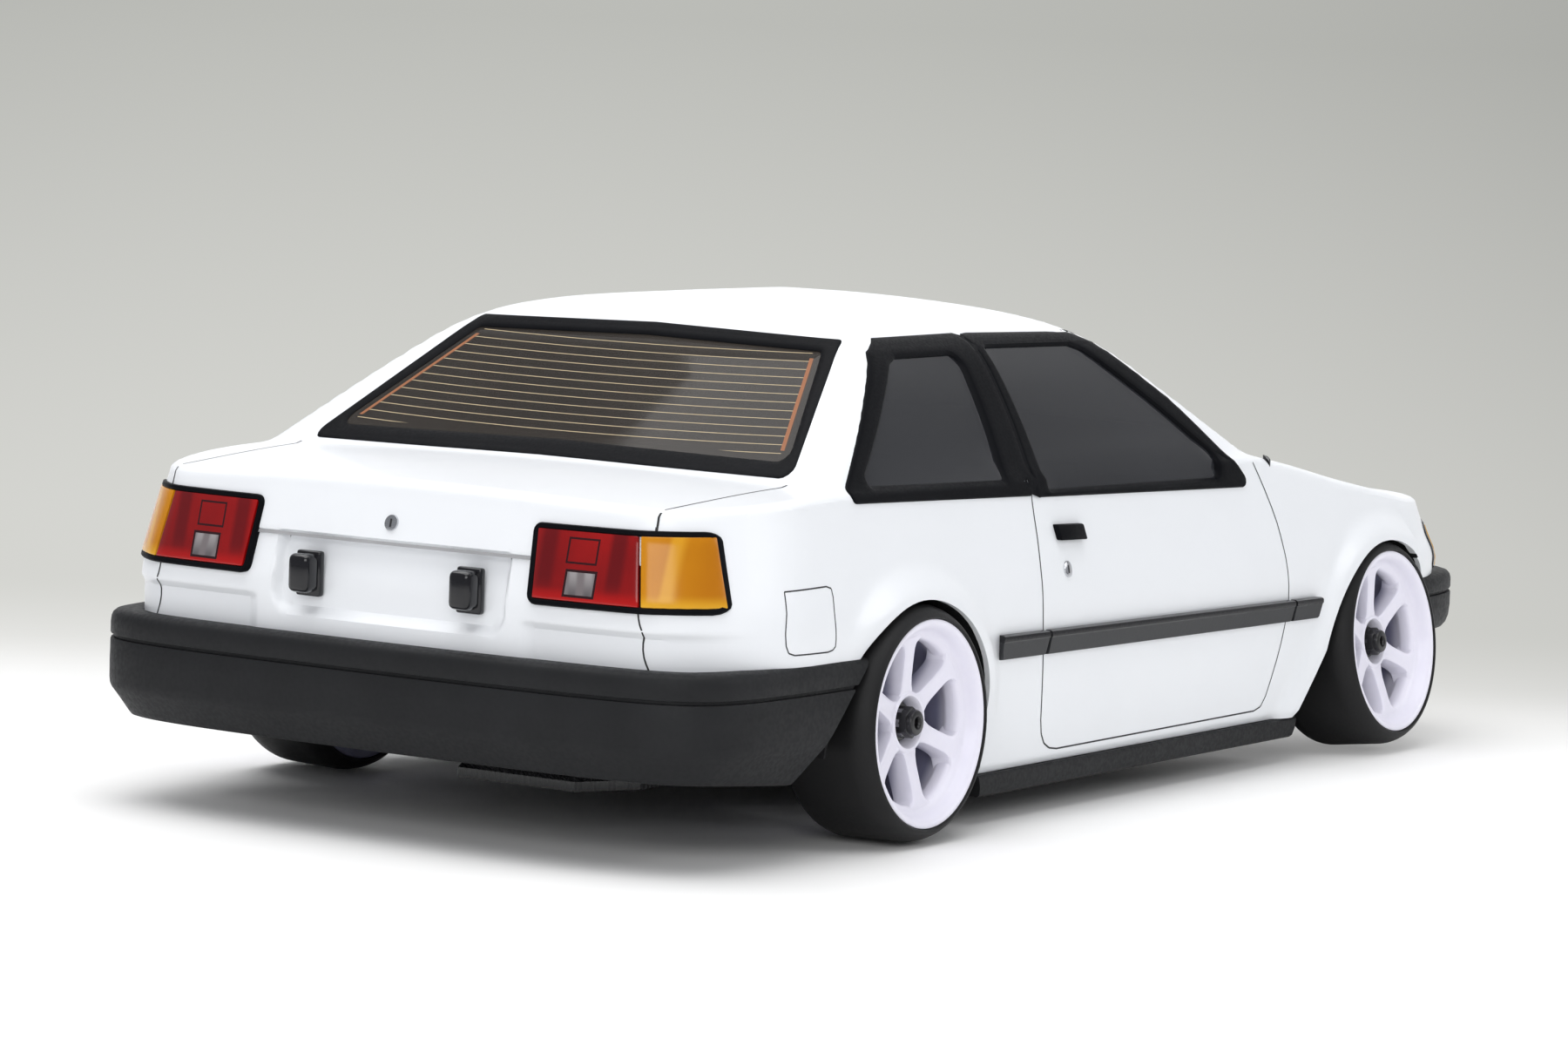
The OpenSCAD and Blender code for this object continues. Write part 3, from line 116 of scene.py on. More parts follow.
def link(name, data):
    made = bpy.data.objects.new(name, data)
    bpy.context.scene.collection.objects.link(made)
    return made


def addObject(name, mesh, slot, materials, replaced=None, body="shell"):
    mesh.name = name
    piece = link(name, mesh)
    for one in materials if isinstance(materials, list) else [materials]:
        mesh.materials.append(one)
    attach(piece, body)
    if replaced:
        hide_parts(replaced)
    return piece


def workOf(mesh):
    work = bmesh.new()
    work.from_mesh(mesh)
    return work


def meshOf(work):
    mesh = bpy.data.meshes.new("mesh")
    work.to_mesh(mesh)
    work.free()
    return mesh


def finishMesh(work, sharp=35):
    bmesh.ops.remove_doubles(work, verts=work.verts, dist=1e-6)
    bmesh.ops.recalc_face_normals(work, faces=work.faces)
    for face in work.faces:
        face.smooth = True
    for edge in work.edges:
        if len(edge.link_faces) == 2 and edge.calc_face_angle(0) > math.radians(sharp):
            edge.smooth = False
    return meshOf(work)


def mirrorY(work):
    copied = bmesh.ops.duplicate(work, geom=work.verts[:] + work.edges[:] + work.faces[:])["geom"]
    for vert in (v for v in copied if isinstance(v, bmesh.types.BMVert)):
        vert.co.y = -vert.co.y
    bmesh.ops.reverse_faces(work, faces=[f for f in copied if isinstance(f, bmesh.types.BMFace)])


def meshFrom(points, faces, sharp=35, mirrored=False, rounding=0.0):
    work = bmesh.new()
    verts = [work.verts.new(Vector(p) * mm) for p in points]
    for face in faces:
        work.faces.new([verts[i] for i in face])
    if rounding:
        bmesh.ops.remove_doubles(work, verts=work.verts, dist=1e-6)
        bmesh.ops.recalc_face_normals(work, faces=work.faces)
        bent = math.radians(50)
        corners = [e for e in work.edges if len(e.link_faces) == 2 and e.calc_face_angle(0) > bent]
        bmesh.ops.bevel(work, geom=corners, offset=rounding * mm, segments=2, profile=0.5, affect="EDGES",
                        clamp_overlap=True)
    if mirrored:
        mirrorY(work)
    return finishMesh(work, sharp)


def gridFaces(rows, cols, closed=False):
    faces = []
    for start in range(0, (rows - 1) * cols, cols):
        for c in range(cols if closed else cols - 1):
            n = (c + 1) % cols
            faces.append((start + c, start + n, start + cols + n, start + cols + c))
    return faces


def joined(parts):                            # the points and faces of several parts, numbered as one
    points, faces = [], []
    for more, extra in parts:
        faces += [tuple(i + len(points) for i in face) for face in extra]
        points += more
    return points, faces


def cutAway(piece, cutter):
    change = piece.modifiers.new("cut", "BOOLEAN")
    change.operation = "DIFFERENCE"
    change.solver = "MANIFOLD"
    change.object = cutter
    bpy.context.view_layer.update()
    shape = piece.evaluated_get(bpy.context.evaluated_depsgraph_get())
    fresh = bpy.data.meshes.new_from_object(shape)
    piece.modifiers.clear()
    piece.data = fresh
    bpy.data.objects.remove(cutter)


def prismCutter(outline, axis, low, high):
    work = bmesh.new()
    near, far = [[work.verts.new(Vector((t, a, b) if axis == "x" else (a, t, b)) * mm) for a, b in outline]
                 for t in (low, high)]
    work.faces.new(near)
    work.faces.new(far)
    for k in range(len(outline)):
        work.faces.new((near[k - 1], near[k], far[k], far[k - 1]))
    bmesh.ops.recalc_face_normals(work, faces=work.faces)
    return link("cutter", meshOf(work))


def wireMaths(operation, turned=False):
    def act(self, *others):
        inputs = (*others, self) if turned else (self, *others)
        return self.shader.node("ShaderNodeMath", "Value", inputs, operation=operation)
    return act


class Wire:                                   # a socket that can be reckoned with
    __add__ = __radd__ = wireMaths("ADD")
    __sub__, __rsub__ = wireMaths("SUBTRACT"), wireMaths("SUBTRACT", True)
    __mul__ = __rmul__ = wireMaths("MULTIPLY")
    __truediv__ = wireMaths("DIVIDE")
    floor, abs, sine = wireMaths("FLOOR"), wireMaths("ABSOLUTE"), wireMaths("SINE")
    smaller, larger, min = wireMaths("LESS_THAN"), wireMaths("GREATER_THAN"), wireMaths("MINIMUM")

    def __init__(self, shader, socket):
        self.shader = shader
        self.socket = socket

    def wave(self, period):                   # 0 to 1 and back over each period, in the wire's own unit
        return (self * (2 * math.pi / period)).sine() * 0.5 + 0.5

    def ramp(self, low, high, start=0.0, end=1.0):
        return self.shader.node("ShaderNodeMapRange", "Result", (self, low, high, start, end),
                                interpolation_type="SMOOTHSTEP")


class Shader:
    sockets = {
        "colour": "Base Color", "roughness": "Roughness", "metallic": "Metallic", "alpha": "Alpha",
        "coat": "Coat Weight", "coatRoughness": "Coat Roughness", "normal": "Normal",
        "specular": "Specular IOR Level",
    }

    def __init__(self, name):
        self.material = bpy.data.materials.new(name)
        self.material.use_nodes = True
        self.tree = self.material.node_tree
        self.surface = self.tree.nodes["Principled BSDF"]

    def node(self, kind, output, inputs=(), **settings):
        made = self.tree.nodes.new(kind)
        for key, value in settings.items():
            setattr(made, key, value)
        for key, value in inputs.items() if isinstance(inputs, dict) else enumerate(inputs):
            self.feed(made.inputs[key], value)
        return Wire(self, made.outputs[output])

    def feed(self, target, value):
        if isinstance(value, Wire):
            self.tree.links.new(value.socket, target)
        elif target.type == "RGBA":
            target.default_value = (*value, 1)
        else:
            target.default_value = value

    def place(self):
        return self.node("ShaderNodeTexCoord", "Object")

    def axes(self):                           # x, y and z in millimetres
        split = self.node("ShaderNodeSeparateXYZ", 0, (self.place(),))
        return [Wire(self, output) * 1000.0 for output in split.socket.node.outputs]

    def noise(self, scale, detail=2.0, place=None):
        return self.node("ShaderNodeTexNoise", "Fac", {"Vector": place or self.place(), "Scale": scale,
                                                      "Detail": detail})

    def mix(self, share, a, b):
        made = self.tree.nodes.new("ShaderNodeMix")
        made.data_type = "RGBA"
        for key, value in (("Factor_Float", share), ("A_Color", a), ("B_Color", b)):
            self.feed(next(s for s in made.inputs if s.identifier == key), value)
        return Wire(self, next(s for s in made.outputs if s.identifier == "Result_Color"))

    def bump(self, height, distance, strength=1.0):
        return self.node("ShaderNodeBump", "Normal", {"Height": height, "Distance": distance * mm,
                                                      "Strength": strength})

    def finish(self, **values):
        for key, value in values.items():
            self.feed(self.surface.inputs[self.sockets[key]], value)
        return self.material


def tinted(colour, share):
    return tuple(c * share for c in colour)


def mouldedPlastic(name, colour, roughness, grain=1400, depth=0.02, coat=0.0, specular=0.4):
    s = Shader(name)
    fine = s.noise(grain, 3)
    tone = s.mix(s.noise(60, 2).ramp(0.3, 0.75), colour, tinted(colour, 1.18))
    return s.finish(colour=tone, roughness=fine.ramp(0.3, 0.7, roughness * 0.85, roughness * 1.12),
                    coat=coat,
                    coatRoughness=0.08, specular=specular, normal=s.bump(fine, depth, 0.6))


def brushedMetal(name, colour, roughness):
    s = Shader(name)
    stretched = s.node("ShaderNodeMapping", 0, {"Vector": s.place(), "Scale": (300, 300, 4000)})
    lines = s.noise(1.0, 3, stretched)
    tone = s.mix(lines.ramp(0.3, 0.75), tinted(colour, 0.86), colour)
    return s.finish(colour=tone, roughness=lines.ramp(0.25, 0.8, roughness * 0.75, roughness * 1.3),
                    metallic=1.0,
                    normal=s.bump(lines, 0.01, 0.35))


shot = {"place": (-1204.32, -747.69, 192.20), "target": (13.53, 30.37, 62.44), "roll": 2.2126,
        "lens": 118.65, "sensor": 36.0, "frame": (1568, 1045.33)}


def makeCamera():
    place, target = Vector(shot["place"]) * mm, Vector(shot["target"]) * mm
    back = (place - target).normalized()
    right = (-back).cross(Vector((0, 0, 1))).normalized()
    up = right.cross(-back)
    roll = math.radians(shot["roll"])
    tilted = right * math.cos(roll) + up * math.sin(roll)
    raised = up * math.cos(roll) - right * math.sin(roll)
    data = bpy.data.cameras.new("camera")
    data.lens, data.sensor_width, data.sensor_fit = shot["lens"], shot["sensor"], "AUTO"
    data.clip_start, data.clip_end = 0.05, 30
    made = link("camera", data)
    made.matrix_world = Matrix((tilted, raised, back)).transposed().to_4x4()
    made.location = place
    bpy.context.scene.camera = made
    bpy.context.view_layer.update()
    return made


def placeOn(tree, point):                      # where the ray through an image point meets or passes a surface
    wide, high = shot["frame"]
    ray = Vector((point[0] - wide / 2, high / 2 - point[1], -wide * shot["lens"] / shot["sensor"]))
    origin = camera.matrix_world.translation
    aim = (camera.matrix_world.to_3x3() @ ray).normalized()
    hit = tree.ray_cast(origin, aim)[0]
    if hit is None:
        passed = [tree.find_nearest(origin + aim * (0.9 + 0.006 * k)) for k in range(200)]
        hit = min(passed, key=lambda near: near[3])[0]
    return hit / mm


def imagePoint(place):
    wide, high = shot["frame"]
    local = camera.matrix_world.inverted() @ place
    scale = wide * shot["lens"] / shot["sensor"] / -local.z
    return wide / 2 + local.x * scale, high / 2 - local.y * scale


# places in the photograph, on a frame 1568 wide
imagePlaces = {
    "left": 112.1, "right": 1449.5, "top": 290.1, "bottom": 846.7,
    "trunkLock": (392.1, 522.8), "doorLock": (1067.4, 569.1), "doorHandle": (1070.2, 531.4),
    "fuelDoor": (814.1, 622.0), "cowlNub": (1267.5, 461.7), "leftPlateLamp": (307.1, 572.5),
    "rightPlateLamp": (467.1, 591.8), "rearNut": (917.2, 723.9), "frontNut": (1383.3, 641.9),
    "leftLampCorner": (265.4, 495.8), "rightLampCorner": (535.2, 523.4), "bumperTip": (871.9, 660.1),
    "mouldingRear": (1002.0, 634.0), "mouldingFront": (1320.8, 594.3),
}

# the sheet's normals face away from the car, and from outside it is see-through
stageSpec = {
    "yaw": -57.426, "near": -2.6, "flat": 0.62, "bend": 0.75, "wall": 2.4, "half": 2.6, "centre": -0.16,
    "drop": 0.0003, "floor": (0.93, 0.928, 0.92), "horizon": (0.67, 0.672, 0.642),
    "top": (0.50, 0.505, 0.478),
}


def makeStage():
    spec = stageSpec
    bend = spec["bend"]
    turns = [math.radians(3 * k) for k in range(31)]
    curve = [(spec["flat"] + bend * math.sin(a), bend * (1 - math.cos(a))) for a in turns]
    profile = [(spec["near"], 0), *curve, (curve[-1][0], spec["wall"])]
    yaw = math.radians(spec["yaw"])
    ahead = Vector((-math.sin(yaw), math.cos(yaw), 0))
    across = Vector((ahead.y, -ahead.x, 0))
    work = bmesh.new()
    rows = [[work.verts.new(ahead * d + across * side * spec["half"] + Vector((0, 0, z - spec["drop"])))
             for side in (-1, 1)] for d, z in profile]
    for a, b in zip(rows, rows[1:]):
        work.faces.new((a[0], a[1], b[1], b[0]))
    mesh = finishMesh(work, 80)
    s = Shader("stagePaint")
    x, y, height = [axis / 1000.0 for axis in s.axes()]
    away = x * ahead.x + y * ahead.y
    aside = x * across.x + y * across.y - spec["centre"]
    s.finish(colour=spec["floor"], roughness=s.noise(30, 2).ramp(0.3, 0.7, 0.62, 0.72), specular=0.15)
    paper = s.mix((away + height).ramp(-0.02, 0.42), spec["floor"], spec["horizon"])
    paper = s.mix((height * 4.8).min(1.0), paper, spec["top"])
    paper = s.mix((aside * aside * 0.62).min(0.2), paper, (0.0, 0.0, 0.0))
    seen = s.node("ShaderNodeEmission", "Emission", {"Color": paper, "Strength": 1.0})
    share = s.node("ShaderNodeLightPath", "Is Camera Ray") * (away + height).ramp(-0.02, 0.24)
    sheet = s.node("ShaderNodeMixShader", "Shader", (share, Wire(s, s.surface.outputs[0]), seen))
    inside = s.node("ShaderNodeNewGeometry", "Backfacing")
    clear = s.node("ShaderNodeBsdfTransparent", "BSDF")
    oneSided = s.node("ShaderNodeMixShader", "Shader", (inside, clear, sheet))
    s.feed(s.tree.nodes["Material Output"].inputs["Surface"], oneSided)
    mesh.materials.append(s.material)
    link("studioFloor", mesh)


lightSpec = [
    {"name": "overhead", "place": (-0.2, 0.1, 1.2), "aim": (-0.05, 0, 0.05), "size": (1.6, 1.2),
     "power": 17},
    {"name": "fromCamera", "place": (-1.9, -0.9, 0.85), "aim": (-0.1, 0, 0.06), "size": (1.4, 0.9),
     "power": 14},
    {"name": "rightSide", "place": (0.9, -1.5, 0.9), "aim": (0.05, 0, 0.06), "size": (1.2, 0.8),
     "power": 7},
]
airSpec = {"colour": (0.93, 0.95, 1.0, 1), "strength": 0.32}


def makeLights():
    for spec in lightSpec:
        data = bpy.data.lights.new(spec["name"], "AREA")
        data.shape = "RECTANGLE"
        data.size, data.size_y = spec["size"]
        data.energy = spec["power"]
        lamp = link(spec["name"], data)
        lamp.location = spec["place"]
        lamp.rotation_euler = (Vector(spec["aim"]) - lamp.location).to_track_quat("-Z", "Y").to_euler()
    world = bpy.data.worlds.new("studioAir")
    bpy.context.scene.world = world
    world.use_nodes = True
    shade = world.node_tree.nodes["Background"]
    shade.inputs["Color"].default_value = airSpec["colour"]
    shade.inputs["Strength"].default_value = airSpec["strength"]
    view = bpy.context.scene.view_settings
    view.view_transform, view.look = "Standard", "None"


camera = makeCamera()
makeStage()
makeLights()
print("stage: camera, floor and lights")

# the body is one net of points, in millimetres
form = {
    "crease": 57, "halfWidth": 95, "lean": 0.21, "edge": 2.6, "roof": 130.7,
    "archRadius": 35.4, "archHeight": 25.4, "flareOut": 2.5, "flareWide": 9.0, "cabinZ": 84,
    "tuck": 4, "tuckOver": 42, "tuckPower": 1.8, "spread": 0.02, "creaseSoft": 1.1, "hem": 15,
    "hemSlope": 0.45,
    "bumperFade": (46, 60), "sillFade": (14, 44),
}

# heights along the car, then how far the cabin falls to the sides, the back and the front
shoulder = smoothTable([(-214, 83.5), (-141, 88), (30, 88), (62, 87.8), (82, 85.2), (118, 78.5), (150, 73),
                        (165, 69.8), (214, 62)])
deckLine = smoothTable([(-214, 86.5), (-141, 90.5), (30, 93), (62, 94), (82, 91.5), (118, 85.5), (165, 77),
                        (214, 68.5)])
sideFall = smoothTable([(0, 0), (6, 0.05), (18, 1.0), (37, 3), (51, 5.8), (60, 9.2), (64.4, 12.0),
                        (75.8, 25.6), (87, 42.7), (96, 58)])
backFall = smoothTable([(-175, 62), (-161.5, 49.7), (-150.5, 42.7), (-123.5, 25.6), (-98, 9.2),
                        (-93.5, 5.9), (-86, 3.1), (-74, 1.1), (-58, 0.1), (-40, 0)])
frontFall = smoothTable([(-50, 0), (-34, 0.1), (-18, 1.1), (-4, 3.1), (8, 5.9), (15, 9.2), (41, 25.6),
                         (68, 42.7), (79, 49.7), (95, 60)])

# the tail and the nose: their middle's x, how they lean and how they bow across the car
ends = {
    "tail": {"x": -211.8, "foot": 62, "slant": 0.25, "way": 1, "side": -165, "rimZ": 84,
             "bow": smoothTable([(0, 0), (0.26, 0.2), (0.5, 0.6), (0.66, 1.4), (0.77, 2.6), (0.85, 7),
                                 (0.91, 13.2), (0.96, 23), (0.985, 31.5), (0.996, 38), (1, 44)])},
    "nose": {"x": 210.8, "foot": 48.3, "slant": 0.5, "way": -1, "side": 165, "rimZ": 68,
             "bow": smoothTable([(0, 0), (0.26, 0.8), (0.5, 3.4), (0.66, 7), (0.77, 11.5), (0.85, 17),
                                 (0.91, 23.5), (0.96, 31.5), (0.985, 38.5), (0.996, 44.5), (1, 50)])},
}


def endX(kind, t, z):                          # the tail's or the nose's x, for t from -1 to 1 across the car
    end, t = ends[kind], abs(t)
    slant = max(z - end["foot"], 0) * end["slant"] * (1 - t * t / 4)
    return end["x"] + end["way"] * end["bow"](t) + end["way"] * slant


# each arch: its wheel's x, the way towards the door, and how its side there rises and runs out
arches = {"rear": {"x": -118.6, "sign": 1, "rise": 3, "run": 13.5},
          "front": {"x": 138.4, "sign": -1, "rise": 6, "run": 34}}


def archGap(x, z, which):
    shape = arches[which]
    dx, height = (x - shape["x"]) * shape["sign"], form["archHeight"] + shape["rise"]
    if dx > 0 and z < height:
        return (dx - form["archRadius"] - shape["run"] * (height - z) / (height + 20)) * 0.93
    return math.hypot(dx, z - form["archHeight"]) - form["archRadius"]


def sideY(x, z):
    crease, half = form["crease"], form["halfWidth"]
    above = half - form["lean"] * (z - crease)
    below = half + form["spread"] * max(z - crease, 0)
    below -= form["tuck"] * max((crease - z) / form["tuckOver"], 0) ** form["tuckPower"]
    if z < form["hem"]:
        below -= (form["hem"] - z) * form["hemSlope"]
    y = softMin(above, below, form["creaseSoft"])
    gap = min(archGap(x, z, "rear"), archGap(x, z, "front"))
    swell = smoothstep(form["flareWide"], 1.5, gap) * form["flareOut"]
    if x < arches["rear"]["x"] or x > arches["front"]["x"]:    # the bumpers' ends lie outside the arches' lips
        swell *= smoothstep(*form["bumperFade"], z)
    elif x < 0:                                   # and the rear arch's lip runs out towards the sill
        swell *= smoothstep(*form["sillFade"], z)
    return y + swell


def shoulderY(x):
    return form["halfWidth"] - (shoulder(x) - form["crease"]) * form["lean"]


def topZ(x, y):
    wide = shoulderY(x)
    deck = shoulder(x) + (deckLine(x) - shoulder(x)) * (1 - min(abs(y) / wide, 1.05) ** 2)
    share = min(abs(y) / 80, 1)
    front = frontFall(x - 6 * (1 - share * share))
    rear = backFall(x + 3 * (1 - share * share))
    along, side = max(front, rear), sideFall(abs(y))
    fall = softMax(along, side, min(5.0, 0.6 * max(along, side) + 0.05))
    return softMax(deck, form["roof"] - fall, 1.6)


# the number plate's recess in the tail, and the ledge below the lamps
recess = {"halfY": 35.6, "lowZ": 52.2, "radius": 6, "bevel": 2.4, "depth": 2.6, "lidZ": 72.3,
          "ledgeZ": 56.4, "ledge": 1.5}


def tailRecess(y, z):
    spec = recess
    away = abs(y)
    inner = spec["halfY"] - spec["radius"]
    dx, dz = away - inner, spec["lowZ"] + spec["radius"] - z
    outside = math.hypot(max(dx, 0), max(dz, 0)) + min(max(dx, dz), 0) - spec["radius"]
    depth = smoothstep(0, -spec["bevel"], outside) * spec["depth"]
    under = smoothstep(spec["lidZ"] + 0.45, spec["lidZ"] - 0.45, z)
    band = smoothstep(spec["ledgeZ"] + 0.9, spec["ledgeZ"] - 1.1, z) * spec["ledge"]
    band *= smoothstep(39, 43, away) * smoothstep(94, 85, away)
    return depth * under + band + under * 0.7 * smoothstep(80, 72, away)


# the heights of the net's rows, and the extra steps near edges
netSpec = {
    "base": 57.5, "lowestRim": 22,             # above the base the levels close up where the rim is low
    "levels": [13, 13.6, 14.4, 15.1, 16, 18, 20.5, 23, 25.5, 28, 30.5, 33, 35.5, 38, 40.5, 43, 45.5, 47.5,
               49, 50.4, 51.4, 52.2, 53, 53.8, 54.6, 55.4, 56.1, 56.7, 57.3, 57.9, 58.8, 60.2, 61.8, 63.6,
               65.5, 67.4, 69.3, 70.8, 71.7, 72.1, 72.5, 72.9, 73.8, 75.4],
    "recessEdges": (30, 32.6, 33.2, 33.8, 34.4, 35, 35.6, 36.4, 39, 41, 43),
    "rimEdges": (0.1, 0.35, 0.8, 1.5, 2.6), "rimHalf": 88, "rimLength": 380, "samples": 400,
}


def shares(pieces, fine):                      # steps across the car, even along the tail's curve
    bow, count = ends["tail"]["bow"], netSpec["samples"]
    half = form["halfWidth"]
    length = [0.0]
    for k in range(count):
        a, b = k / count, (k + 1) / count
        length.append(length[-1] + math.hypot((b - a) * half, bow(b) - bow(a)))
    picked = []
    for k in range(pieces + 1):
        want = length[-1] * k / pieces
        i = min(max(bisect.bisect_left(length, want), 1), count)
        picked.append((i - 1 + (want - length[i - 1]) / (length[i] - length[i - 1])) / count)
    if fine:
        picked += [y / half for y in netSpec["recessEdges"]]
        picked += [1 - d / netSpec["rimHalf"] for d in netSpec["rimEdges"]]
    picked = sorted(set(round(p, 4) for p in picked))
    return [-p for p in reversed(picked) if p > 0] + picked


def lengths(pieces, fine):
    edge = [d / netSpec["rimLength"] for d in netSpec["rimEdges"][:4]] if fine else []
    return [0] + edge + [k / pieces for k in range(1, pieces)] + [1 - e for e in reversed(edge)] + [1]


def sidePlace(kind, value, z):
    if kind in ends:
        y = value * sideY(ends[kind]["side"], z)
        return endX(kind, value, z) + (tailRecess(y, z) if kind == "tail" else 0), y
    a, b = endX("tail", 1, z), endX("nose", 1, z)
    x = a + (b - a) * value
    return x, sideY(x, z) * (1 if kind == "left" else -1)


def rimTop(kind, value):
    if kind in ends:
        end = ends[kind]
        x, y = endX(kind, value, end["rimZ"]), value * shoulderY(end["side"])
    else:
        x, y = sidePlace(kind, value, form["cabinZ"])
    return topZ(x, y) - form["edge"]


def levelAt(k, top, upper):
    base, levels = netSpec["base"], netSpec["levels"]
    squeeze = min((top - base) / netSpec["lowestRim"], 1)
    if k < len(levels):
        return min(levels[k], base) + max(levels[k] - base, 0) * squeeze
    low = base + (levels[-1] - base) * squeeze
    return low + (top - low) * (k - len(levels) + 1) / upper


def bodyNet(acrossPieces, alongPieces, upper, fine=False):
    across, along = shares(acrossPieces, fine), lengths(alongPieces, fine)
    outline = [("tail", t) for t in across] + [("left", u) for u in along[1:-1]]
    outline += [("nose", t) for t in reversed(across)] + [("right", u) for u in reversed(along[1:-1])]
    tops = [rimTop(*one) for one in outline]
    levelCount, count = len(netSpec["levels"]) + upper, len(outline)
    points = []
    for k in range(levelCount):
        for one, top in zip(outline, tops):
            z = levelAt(k, top, upper)
            points.append((*sidePlace(*one, z), z))
    faces = gridFaces(levelCount, count, closed=True)
    rim = [Vector((x, y, 0)) for x, y, z in points[-count:]]
    tree = KDTree(count * 6)
    for k in range(count):
        for j in range(6):
            tree.insert(rim[k].lerp(rim[(k + 1) % count], j / 6), k * 6 + j)
    tree.balance()
    nAcross, nAlong = len(across), len(along)
    first, r = (levelCount - 1) * count, form["edge"]
    index = {}
    for j in range(nAcross):
        index[(0, j)] = first + j
        index[(nAlong - 1, j)] = first + 2 * nAcross + nAlong - 3 - j
    for i in range(1, nAlong - 1):
        index[(i, nAcross - 1)] = first + nAcross + i - 1
        index[(i, 0)] = first + 2 * nAcross + 2 * nAlong - 4 - i
    for i in range(1, nAlong - 1):
        for j in range(1, nAcross - 1):
            a, b = points[index[(0, j)]], points[index[(nAlong - 1, j)]]
            x = a[0] + (b[0] - a[0]) * along[i]
            left, right = points[index[(i, nAcross - 1)]], points[index[(i, 0)]]
            y = across[j] * (left[1] - right[1]) / 2
            inward = r - tree.find((x, y, 0))[2]
            drop = r - math.sqrt(max(r * r - max(inward, 0) ** 2, 0))
            index[(i, j)] = len(points)
            points.append((x, y, topZ(x, y) - drop))
    for i in range(nAlong - 1):
        for j in range(nAcross - 1):
            faces.append((index[(i, j)], index[(i + 1, j)], index[(i + 1, j + 1)], index[(i, j + 1)]))
    faces.append(tuple(reversed(range(count))))
    return points, faces


outerMesh = meshFrom(*bodyNet(40, 150, 5, True), sharp=40)
skinTree = BVHTree.FromBMesh(workOf(outerMesh))
print("body net:", len(outerMesh.polygons), "faces")

# how a flat place becomes the start of a ray onto the body, and the ray's direction
views = {
    "sideLeft": (lambda a, b: (a, 200, b), (0, -1, 0)), "sideRight": (lambda a, b: (a, -200, b), (0, 1, 0)),
    "rear": (lambda a, b: (-400, a, b), (1, 0, 0)), "front": (lambda a, b: (400, a, b), (-1, 0, 0)),
    "top": (lambda a, b: (a, b, 300), (0, 0, -1)),
}


def layer(kind):                               # a function that lays a flat place on the body, at a lift
    def onEnd(a, z, lift=0.0):
        def flat(u, h):
            return Vector((endX(kind, u / 90, h), u / 90 * sideY(ends[kind]["side"], h), h))
        here = flat(a, z)
        normal = (flat(a + 0.4, z) - here).cross(flat(a, z + 0.4) - here).normalized()
        return here + normal * (lift if normal.x * ends[kind]["way"] < 0 else -lift)

    def onSkin(a, b, lift=0.0):
        start, aim = views[kind]
        origin, aim = Vector(start(a, b)), Vector(aim)
        hit = skinTree.ray_cast(origin * mm, aim)[0]
        if hit is None:
            hit = skinTree.find_nearest((origin + aim * 105) * mm)[0]
        return hit / mm - aim * lift

    return onEnd if kind in ends else onSkin


def frameMesh(kinds, rings, radius=2.0, edgePieces=12):
    parts = []
    for kind, flip in kinds:
        place = layer(kind)
        laid = []
        for corners, inset, lift in rings:
            flat = roundedOutline(corners, radius, inset, 4, edgePieces)
            laid += [place(-p.x if flip else p.x, p.y, lift) for p in flat]
        parts.append((laid, gridFaces(len(rings), len(flat), closed=True)))
    return meshFrom(*joined(parts))


def drape(parts, rounding=0.0):                # flat outlines laid on the body, with a thickness
    made = []
    for kind, outline, step, lift, thick in parts:
        place = layer(kind)
        work = bmesh.new()
        work.faces.new([work.verts.new((a, b, 0)) for a, b in outline])
        for axis in (0, 1):
            low, high = min(p[axis] for p in outline), max(p[axis] for p in outline)
            pieces = max(int((high - low) / step), 1)
            for k in range(1, pieces):
                spot, way = [0, 0, 0], [0, 0, 0]
                spot[axis], way[axis] = low + (high - low) * k / pieces, 1
                bmesh.ops.bisect_plane(work, geom=work.verts[:] + work.edges[:] + work.faces[:],
                                       plane_co=spot, plane_no=way, dist=1e-5)
        work.verts.index_update()
        count = len(work.verts)
        points = [place(v.co.x, v.co.y, at) for at in (lift, lift - thick) for v in work.verts]
        faces = []
        for face in work.faces:
            ids = [v.index for v in face.verts]
            faces += [tuple(ids), tuple(count + i for i in reversed(ids))]
        for edge in (e for e in work.edges if len(e.link_faces) == 1):
            a, b = (v.index for v in edge.verts)
            faces.append((a, b, count + b, count + a))
        work.free()
        made.append((points, faces))
    return meshFrom(*joined(made), rounding=rounding)


def ribbon(kind, path, width=0.45, lift=0.05, step=2.0, rounding=0.0):
    flat = [Vector(p) for p in path]
    for _ in range(2 if rounding else 0):     # corner cutting
        fresh = [flat[0]]
        for a, b, c in zip(flat, flat[1:], flat[2:]):
            near, far = min(rounding / (a - b).length, 0.4), min(rounding / (c - b).length, 0.4)
            fresh += [b.lerp(a, near), b.lerp(c, far)]
        flat = fresh + [flat[-1]]
    spots = [flat[0]]
    for a, b in zip(flat, flat[1:]):
        pieces = max(int((b - a).length / step), 1)
        spots += [a.lerp(b, k / pieces) for k in range(1, pieces + 1)]
    place, points = layer(kind), []
    for k, spot in enumerate(spots):
        along = (spots[min(k + 1, len(spots) - 1)] - spots[max(k - 1, 0)]).normalized()
        across = Vector((-along.y, along.x)) * width / 2
        points += [place(spot.x + across.x * s, spot.y + across.y * s, lift) for s in (-1, 0, 1)]
    return points, gridFaces(len(spots), 3)


def bothSides(kind, path, **extra):
    if kind == "side":
        return [ribbon(one, path, **extra) for one in ("sideLeft", "sideRight")]
    other = [(a, -b) if kind == "top" else (-a, b) for a, b in path]
    return [ribbon(kind, one, **extra) for one in (path, other)]


